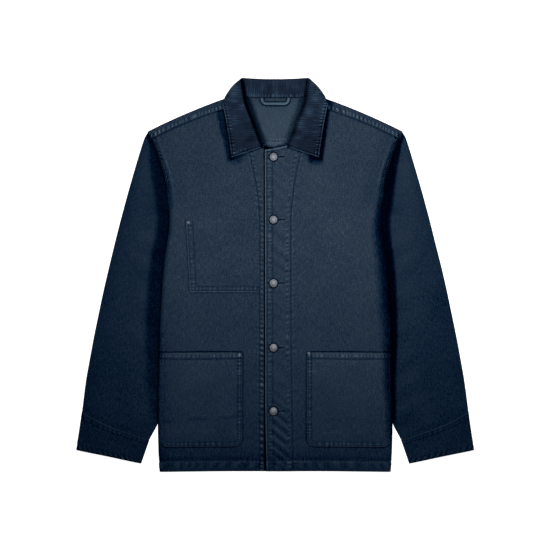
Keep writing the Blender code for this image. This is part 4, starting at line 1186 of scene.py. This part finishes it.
def thread(name, spots, finish):
    """A row of stitches as one mesh: each is a short four-sided bar along its seam, thick in the
    middle and sunk at both ends. `spots` holds x, y, z, direction x, y and half length."""
    spots = np.concatenate(spots)
    centre, heading, half = spots[:, :3], spots[:, 3:5], spots[:, 5]
    heading = unit(heading)
    across = left_of(heading)
    t = np.array([-1, -0.55, 0.55, 1])
    fat = np.array([0.12, 0.34, 0.34, 0.12])
    drop = np.array([-0.3, 0.06, 0.06, -0.3])
    angle = np.radians([0, 90, 180, 270])
    plan = centre[:, None, None, :2] + heading[:, None, None] * (half[:, None] * t)[:, :, None, None]
    plan = plan + across[:, None, None] * (fat[:, None] * np.cos(angle))[None, :, :, None]
    z = centre[:, 2, None, None] + drop[:, None] + fat[:, None] * np.sin(angle)
    points = np.concatenate([plan, z[..., None]], axis=3).reshape(-1, 3)
    ring = np.arange(16).reshape(4, 4)
    one = quads(np.concatenate([ring, ring[:, :1]], axis=1))
    one = np.concatenate([one, [[3, 2, 1, 0]], [[12, 13, 14, 15]]])
    faces = (one[None] + 16 * np.arange(len(spots))[:, None, None]).reshape(-1, 4)
    tones = np.zeros(len(points))
    return shell_mesh(name, (points, faces, tones, points[:, :2]), finish, sharp=60)


def seam_stitches(line, surface, pitch=3.4, seed=0):
    """Stitches along a line in plan, a pitch apart and a touch uneven, on a surface."""
    run = run_of(line)
    count = int(run[-1] / pitch)
    where = (np.arange(count) + 0.5) * pitch
    places, ahead, behind = (
        np.stack([np.interp(where + step, run, p) for p in line.T], axis=1) for step in (0, 0.5, -0.5)
    )
    sway = 0.12 * np.random.default_rng(seed).normal(size=(2, count))
    reach = np.full(count, pitch * 0.39)
    return np.column_stack([places + sway.T, surface(*places.T), ahead - behind, reach])


def turned(name, profile, x, y, finish, sides=48):
    """A turned piece: rings of points through a profile of (radius, height)."""
    angle = np.linspace(0, 2 * np.pi, sides, endpoint=False)
    r, z = np.array(profile, float).T[..., None]
    rings = np.stack(np.broadcast_arrays(x + r * np.cos(angle), y + r * np.sin(angle), z), axis=2)
    index = np.arange(rings.shape[0] * sides).reshape(-1, sides)
    faces = quads(np.concatenate([index, index[:, :1]], axis=1))
    points = rings.reshape(-1, 3)
    return shell_mesh(name, (points, faces, np.zeros(len(points)), points[:, :2]), finish, sharp=40)


def button(i, y, finish):
    """A tack button: a domed cap with a rolled rim and a shallow ring, on a shank."""
    seat = float(front_level(-BUTTON_X, y, -1)) + CANVAS / 2 + 0.25
    cap = float(top_of_front(np.array(BUTTON_X), np.array(y), 1)) + 0.35
    r = BUTTON_R - 0.7
    dome = [(0.92 * r, 0.1), (0.985 * r, 0.35), (r, 0.95), (0.97 * r, 1.55), (0.9 * r, 1.95), (0.84 * r, 2),
            (0.8 * r, 2.02), (0.66 * r, 2.6), (0.44 * r, 3.05), (0.2 * r, 3.28), (0.02, 3.32)]
    profile = [(0.02, seat), (1.9, seat), (1.9, cap + 0.1), (0.8 * r, cap + 0.1)]
    profile += [(p, cap + h) for p, h in along(dome, 34)]
    return turned(f"button_cap_{i}", profile, BUTTON_X, y, finish, sides=64)


def rivet(name, x, y, surface, finish):
    """A small rivet: a flat flange with a raised burr in its middle."""
    seat = float(surface) + 0.15
    table = [(2.9, 0), (3, 0.35), (2.75, 0.7), (2.3, 0.85), (2, 0.75), (1.7, 0.95), (1.3, 1.3), (0.6, 1.45),
             (0.02, 1.48)]
    profile = [(0.02, seat)] + [(r, seat + h) for r, h in along(table, 22)]
    return turned(name, profile, x, y, finish, sides=36)


# ---------------------------------------------------------------- finishes

class Level:
    """A number that changes over a surface. Arithmetic on it adds the Math nodes."""

    def __init__(self, finish, socket):
        self.finish, self.socket = finish, socket

    def __add__(self, other):
        return self.finish.math("ADD", self, other)

    def __sub__(self, other):
        return self.finish.math("SUBTRACT", self, other)

    def __rsub__(self, other):
        return self.finish.math("SUBTRACT", other, self)

    def __mul__(self, other):
        return self.finish.math("MULTIPLY", self, other)


class Finish:
    """A material under construction. What is even all over goes straight on the shader."""

    def __init__(self, name, **even):
        self.material = bpy.data.materials.new(name)
        self.material.use_nodes = True
        self.tree = self.material.node_tree
        self.shader = self.tree.nodes["Principled BSDF"]
        for socket, value in even.items():
            self.shader.inputs[socket.replace("_", " ")].default_value = value

    def node(self, kind, settings=None, out=0, values=(), **inputs):
        """A node of any kind: its settings first, then a value or a link for each of its sockets,
        given in their order or by name."""
        node = self.tree.nodes.new("ShaderNode" + kind)
        for key, value in (settings or {}).items():
            setattr(node, key, value)
        for key, value in [*enumerate(values), *inputs.items()]:
            self.give(node.inputs[key if isinstance(key, int) else key.replace("_", " ")], value)
        return Level(self, node.outputs[out])

    def ramp(self, value, stops):
        """A colour ramp, whose stops are (place, colour)."""
        level = self.node("ValToRGB", Fac=value)
        elements = level.socket.node.color_ramp.elements
        while len(elements) < len(stops):
            elements.new(0.5)
        for stop, (place, colour) in zip(elements, stops):
            stop.position, stop.color = place, (*colour, 1)
        return level

    def give(self, socket, value):
        if isinstance(value, Level):
            self.tree.links.new(value.socket, socket)
        else:
            socket.default_value = value

    def math(self, operation, *values, clamp=False):
        return self.node("Math", dict(operation=operation, use_clamp=clamp), values=values)

    def set(self, **inputs):
        for key, value in inputs.items():
            self.give(self.shader.inputs[key.replace("_", " ")], value)
        return self.material

    def matte_in_shade(self, colour, depth, bump):
        """Mixes in the same colour without any sheen where the tone is low, so that painted shade loses its
        reflection too.
        """
        dull = self.tree.nodes.new("ShaderNodeBsdfPrincipled")
        dull.inputs["Specular IOR Level"].default_value = 0
        dull.inputs["Roughness"].default_value = 1
        blend = self.tree.nodes.new("ShaderNodeMixShader")
        self.give(dull.inputs["Base Color"], colour)
        self.give(dull.inputs["Normal"], bump)
        self.give(blend.inputs[0], depth)
        surface = self.tree.nodes["Material Output"].inputs["Surface"]
        for start, end in ((self.shader, blend.inputs[1]), (dull, blend.inputs[2]), (blend, surface)):
            self.tree.links.new(start.outputs[0], end)
        return self.material

    def noise(self, place, scale, detail=2, roughness=0.5, stretch=None):
        if stretch:
            place = self.node("Mapping", Vector=place, Scale=(*stretch, 1))
        return self.node("TexNoise", Vector=place, Scale=scale, Detail=detail, Roughness=roughness)

    def bump(self, height, strength, distance):
        return self.node("Bump", Height=height, Strength=strength, Distance=distance)

    def cloth(self):
        """The cloth's own coordinates and its tone, as the meshes hold them."""
        places = self.node("UVMap", dict(uv_map="cloth"))
        return places, self.node("Attribute", dict(attribute_name="tone", attribute_type="GEOMETRY"), out=2)

    def object_place(self):
        return self.node("TexCoord", out=3)


def canvas_finish(name, stops, grain=1):
    """Garment-dyed canvas. The tone attribute, with its painted shade and painted highlight, and
    the yarns' own unevenness together choose between the dark colour of painted shade, the
    middle colour, and the pale colour of painted highlight and wear, the yarns more so where it
    is dark. The weave is two crossed waves."""
    f = Finish(name, Specular_IOR_Level=0.16)
    cloth, tone = f.cloth()
    yarn = f.noise(cloth, 1, 3, 0.6, stretch=(26, 60))
    slub = f.noise(cloth, 1, 2, 0.5, stretch=(46, 9))
    heather = f.noise(cloth, 44, 4, 0.75)
    cloud = f.noise(cloth, 1.7, 2, 0.5)
    mottle = f.noise(cloth, 11, 3, 0.6)
    lively = f.math("MINIMUM", 1.1 - tone * 1.1, 1.5)
    fleck = (yarn - 0.5) * (0.36 * grain) + (heather - 0.5) * (0.62 * grain) + (slub - 0.5) * (0.27 * grain)
    value = tone * 0.5 + fleck * lively + (cloud - 0.5) * 0.1 + (mottle - 0.5) * 0.12 + 0.5
    colour = f.ramp(value, stops)
    warp, weft = (
        f.node("TexWave", dict(wave_type="BANDS", bands_direction=axis), out=1, Vector=cloth, Scale=17,
               Distortion=0.6, Detail=1)
        for axis in "XY"
    )
    bump = f.bump(warp * 0.5 + weft * 0.5 + heather * 1.1 + yarn * 0.5, 0.5, 0.0003)
    dull = 0.95 - f.math("MULTIPLY", value, 0.75, clamp=True)
    f.set(Base_Color=colour, Roughness=dull, Normal=bump)
    return f.matte_in_shade(colour, f.math("MULTIPLY", 0.5 - value, 2.8, clamp=True), bump)


def corduroy_finish():
    """Cotton corduroy: the tone attribute carries its ribs with their painted highlight and the painted
    shade round them, and the pile is a fine noise.
    """
    f = Finish("navy corduroy", Roughness=0.8, Specular_IOR_Level=0.12)
    cloth, tone = f.cloth()
    pile = f.noise(cloth, 48, 4, 0.7)
    rub = f.noise(cloth, 5, 3, 0.6)
    value = tone * 0.5 + (pile - 0.5) * 0.55 + (rub - 0.5) * 0.3 + 0.5
    colour = f.ramp(value, PILE)
    bump = f.bump(pile, 0.6, 0.0003)
    f.set(Base_Color=colour, Normal=bump)
    return f.matte_in_shade(colour, f.math("MULTIPLY", 0.4 - value, 3.2, clamp=True), bump)


def thread_finish():
    """Navy cotton thread, a little paler here and there."""
    f = Finish("navy thread", Roughness=0.75, Specular_IOR_Level=0.3)
    return f.set(Base_Color=f.ramp(f.noise(f.object_place(), 900), THREAD))


def metal_finish(name, low, high, roughness):
    """Pewter-grey metal: fine rubbing changes its colour and roughness, over small dents."""
    f = Finish(name, Metallic=1)
    place = f.object_place()
    rub = f.noise(place, 420, 4, 0.65)
    colour = f.ramp(rub, ((0.3, low), (0.72, high)))
    dents = f.bump(f.noise(place, 160), 0.25, 0.0004)
    return f.set(Base_Color=colour, Roughness=rub * 0.22 + roughness, Normal=dents)


# ---------------------------------------------------------------- everything in its place

# NAVY, PILE and INSIDE run along the tone: painted shade at the low end, the cloth's own colour in the
# middle, painted highlight and worn pale at the high end
NAVY = ((0, (0.0001, 0.0006, 0.003)), (0.15, (0.0002, 0.004, 0.0165)), (0.3, (0.0008, 0.0121, 0.0342)),
        (0.5, (0.0042, 0.0195, 0.0435)), (1, (0.05, 0.095, 0.14)))
PILE = ((0, (0.0003, 0.0008, 0.003)), (0.5, (0.0042, 0.0128, 0.031)), (1, (0.043, 0.087, 0.142)))
THREAD = ((0.3, (0.003, 0.013, 0.034)), (0.7, (0.009, 0.028, 0.058)))
INSIDE = ((0, (0.001, 0.004, 0.011)), (0.5, (0.0165, 0.038, 0.064)), (1, (0.05, 0.085, 0.125)))
canvas = canvas_finish("navy canvas", NAVY)
inside = canvas_finish("canvas inside", INSIDE, 0.8)
cord = corduroy_finish()
sewing = thread_finish()
pewter = metal_finish("pewter", (0.155, 0.162, 0.182), (0.235, 0.245, 0.27), 0.5)
dark_metal = metal_finish("dark rivet metal", (0.08, 0.1, 0.135), (0.185, 0.21, 0.255), 0.45)


def settle(obj, slot, *nodes):
    """Puts an object on the root body, in for its CAD node."""
    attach(obj, "root")
    if nodes:
        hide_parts(*nodes)
    return obj


pieces = {
    "back": settle(shell_mesh("back_panel", back(), canvas), "canvas", "back"),
    "collar": settle(shell_mesh("corduroy_collar", collar(), cord), "corduroy", "collar"),
    "facing": settle(shell_mesh("back_neck_facing", neck_facing(), inside), "canvas_inside", "neck_facing"),
    "loop": settle(shell_mesh("rolled_hanger_loop", hanger_loop(), canvas), "canvas", "hanger_loop"),
    "chest": settle(shell_mesh("chest_patch", chest_pocket(), canvas), "canvas", "chest_pocket"),
}
SIDES = ((-1, "right"), (1, "left"))
for side, word in SIDES:
    for key, name, shape, node in (
        ("front", "front_panel", front, "front"), ("sleeve", "sleeve_cloth", sleeve, "sleeve"),
        ("cuff", "cuff_cloth", cuff, "cuff"), ("hip", "hip_patch", hip_pocket, "hip_pocket"),
    ):
        obj = shell_mesh(f"{name}_{word}", shape(side), canvas)
        pieces[f"{key}_{word}"] = settle(obj, "canvas", f"{node}_{word}")


def line_of(function, start, end, side, count=200):
    """A line down a front at the distance from the centre that a function of y gives."""
    y = np.linspace(start, end, count)
    return np.stack([side * function(y), y], axis=1)


def front_seams(side):
    """Every row of stitches on one front."""
    def surface(x, y):
        return top_of_front(x, y, side)
    lines = [line_of(lambda y: curve(y, FACING_LINE[side]) - 0.6, HEM + 20, 222, side)]
    if side > 0:
        lines += [line_of(lambda y, d=d: curve(y, FRONT_EDGE) + d, HEM + 20, 240, side) for d in (3.4, 14)]
    for d in (3, 10.4):
        lines.append(line_of(lambda y, d=d: half_width(y) - d, 128, 268 - d * 0.4, side))
    a = np.linspace(-16 if side > 0 else 22, 218, 200)
    lines.append(np.stack([side * a, np.full(200, HEM + 19.3)], axis=1))
    return [seam_stitches(line, surface, seed=n + 300) for n, line in enumerate(lines)]


def pocket_seams(side, box, outer, rows, mouth_rows, surface_relief):
    """Rows of stitches round a patch: down one side, round the corners, and up the other."""
    def surface(x, y):
        a = side * x
        gap = rounded_gap(a, y, box["inner"], box["foot"], outer(y), box["corner"])
        return patch_top(a, y, side) + surface_relief(a, y, gap)[0]
    out = []
    for n, d in enumerate(rows):
        c = max(box["corner"] - d, 0.5)
        inner, foot = box["inner"] + d, box["foot"] + d
        t = np.linspace(0, np.pi / 2, 12)
        up = np.linspace(box["mouth"] - 1, foot + c, 60)
        left = np.stack([np.full(60, inner), up], axis=1)
        bend = np.stack([inner + c - c * np.cos(t), foot + c - c * np.sin(t)], axis=1)
        far = outer(foot) - d
        bend_out = np.stack([far - c + c * np.sin(t), foot + c - c * np.cos(t)], axis=1)
        right = np.stack([outer(up[::-1]) - d, up[::-1]], axis=1)
        line = np.concatenate([left, bend, bend_out, right]) * np.array([side, 1])
        out.append(seam_stitches(line, surface, seed=n + 330))
    for n, d in enumerate(mouth_rows):
        a = np.linspace(box["inner"] + 2, outer(box["mouth"]) - 2, 80)
        line = np.stack([side * a, np.full(80, box["mouth"] - d)], axis=1)
        out.append(seam_stitches(line, surface, seed=n + 340))
    return out


seams = {}
for side, word in SIDES:
    seams[f"front_{word}"] = front_seams(side)
    seams[f"hip_{word}"] = pocket_seams(side, HIP[side], hip_outer, (2.2, 8.6), (12.6,), hip_relief(side))
seams["chest"] = pocket_seams(-1, CHEST, chest_outer, (2.4, 10.4), (), chest_relief)
sewn = {key: settle(thread(f"stitches_{key}", spots, sewing), "canvas") for key, spots in seams.items()}

for i, y in enumerate(BUTTON_Y, start=1):
    settle(button(i, y, pewter), "button_metal", f"button_{i}")
for name, x, y in RIVETS:
    lies = patch_top(np.array(abs(x)), np.array(y), int(np.sign(x))) + 0.4
    settle(rivet(name + "_cap", x, y, lies, dark_metal), "rivet_metal", name)

# ---------------------------------------------------------------- floor, light and camera

def linked(name, data, place=(0, 0, 0)):
    """An object in the scene at a place in metres."""
    obj = bpy.data.objects.new(name, data)
    obj.location = place
    bpy.context.scene.collection.objects.link(obj)
    return obj


FLOOR_HALF, FLOOR_Z = 6, -0.0002
floor_mesh = bpy.data.meshes.new("floor")
corners = [(x * FLOOR_HALF, y * FLOOR_HALF, FLOOR_Z) for x, y in ((-1, -1), (1, -1), (1, 1), (-1, 1))]
floor_mesh.from_pydata(corners, [], [(0, 1, 2, 3)])
floor_finish = Finish("pale floor", Base_Color=(0.9, 0.9, 0.9, 1), Roughness=0.9,
                      Emission_Color=(1, 1, 1, 1), Emission_Strength=1)
floor_mesh.materials.append(floor_finish.material)
floor = linked("floor", floor_mesh)

# The room is pale near the horizon and dark overhead
world = bpy.data.worlds.new("studio")
world.use_nodes = True
nodes, links = world.node_tree.nodes, world.node_tree.links
walls = nodes.new("ShaderNodeValToRGB")
low, high = walls.color_ramp.elements
low.position, low.color = 0.06, (0.95, 0.96, 0.98, 1)
high.position, high.color = 0.3, (0.05, 0.052, 0.056, 1)
upward = nodes.new("ShaderNodeSeparateXYZ")
links.new(nodes.new("ShaderNodeTexCoord").outputs["Generated"], upward.inputs[0])
links.new(upward.outputs["Z"], walls.inputs["Fac"])
links.new(walls.outputs["Color"], nodes["Background"].inputs["Color"])
bpy.context.scene.world = world

lamp_data = bpy.data.lights.new("softbox", "AREA")
lamp_data.shape = "DISK"
lamp_data.size = 0.75
lamp_data.energy = 9
linked("softbox", lamp_data, (0.07, 0.22, 0.88)).visible_camera = False

CAMERA_HEIGHT, VIEW_WIDTH, SENSOR = 3.2, 1.0725, 36
camera_data = bpy.data.cameras.new("camera")
camera_data.sensor_width = SENSOR
camera_data.lens = SENSOR * CAMERA_HEIGHT / VIEW_WIDTH
camera_data.clip_end = 50
bpy.context.scene.camera = linked("camera", camera_data, (-0.0004, -0.0007, CAMERA_HEIGHT))
bpy.context.scene.view_settings.view_transform = "Standard"
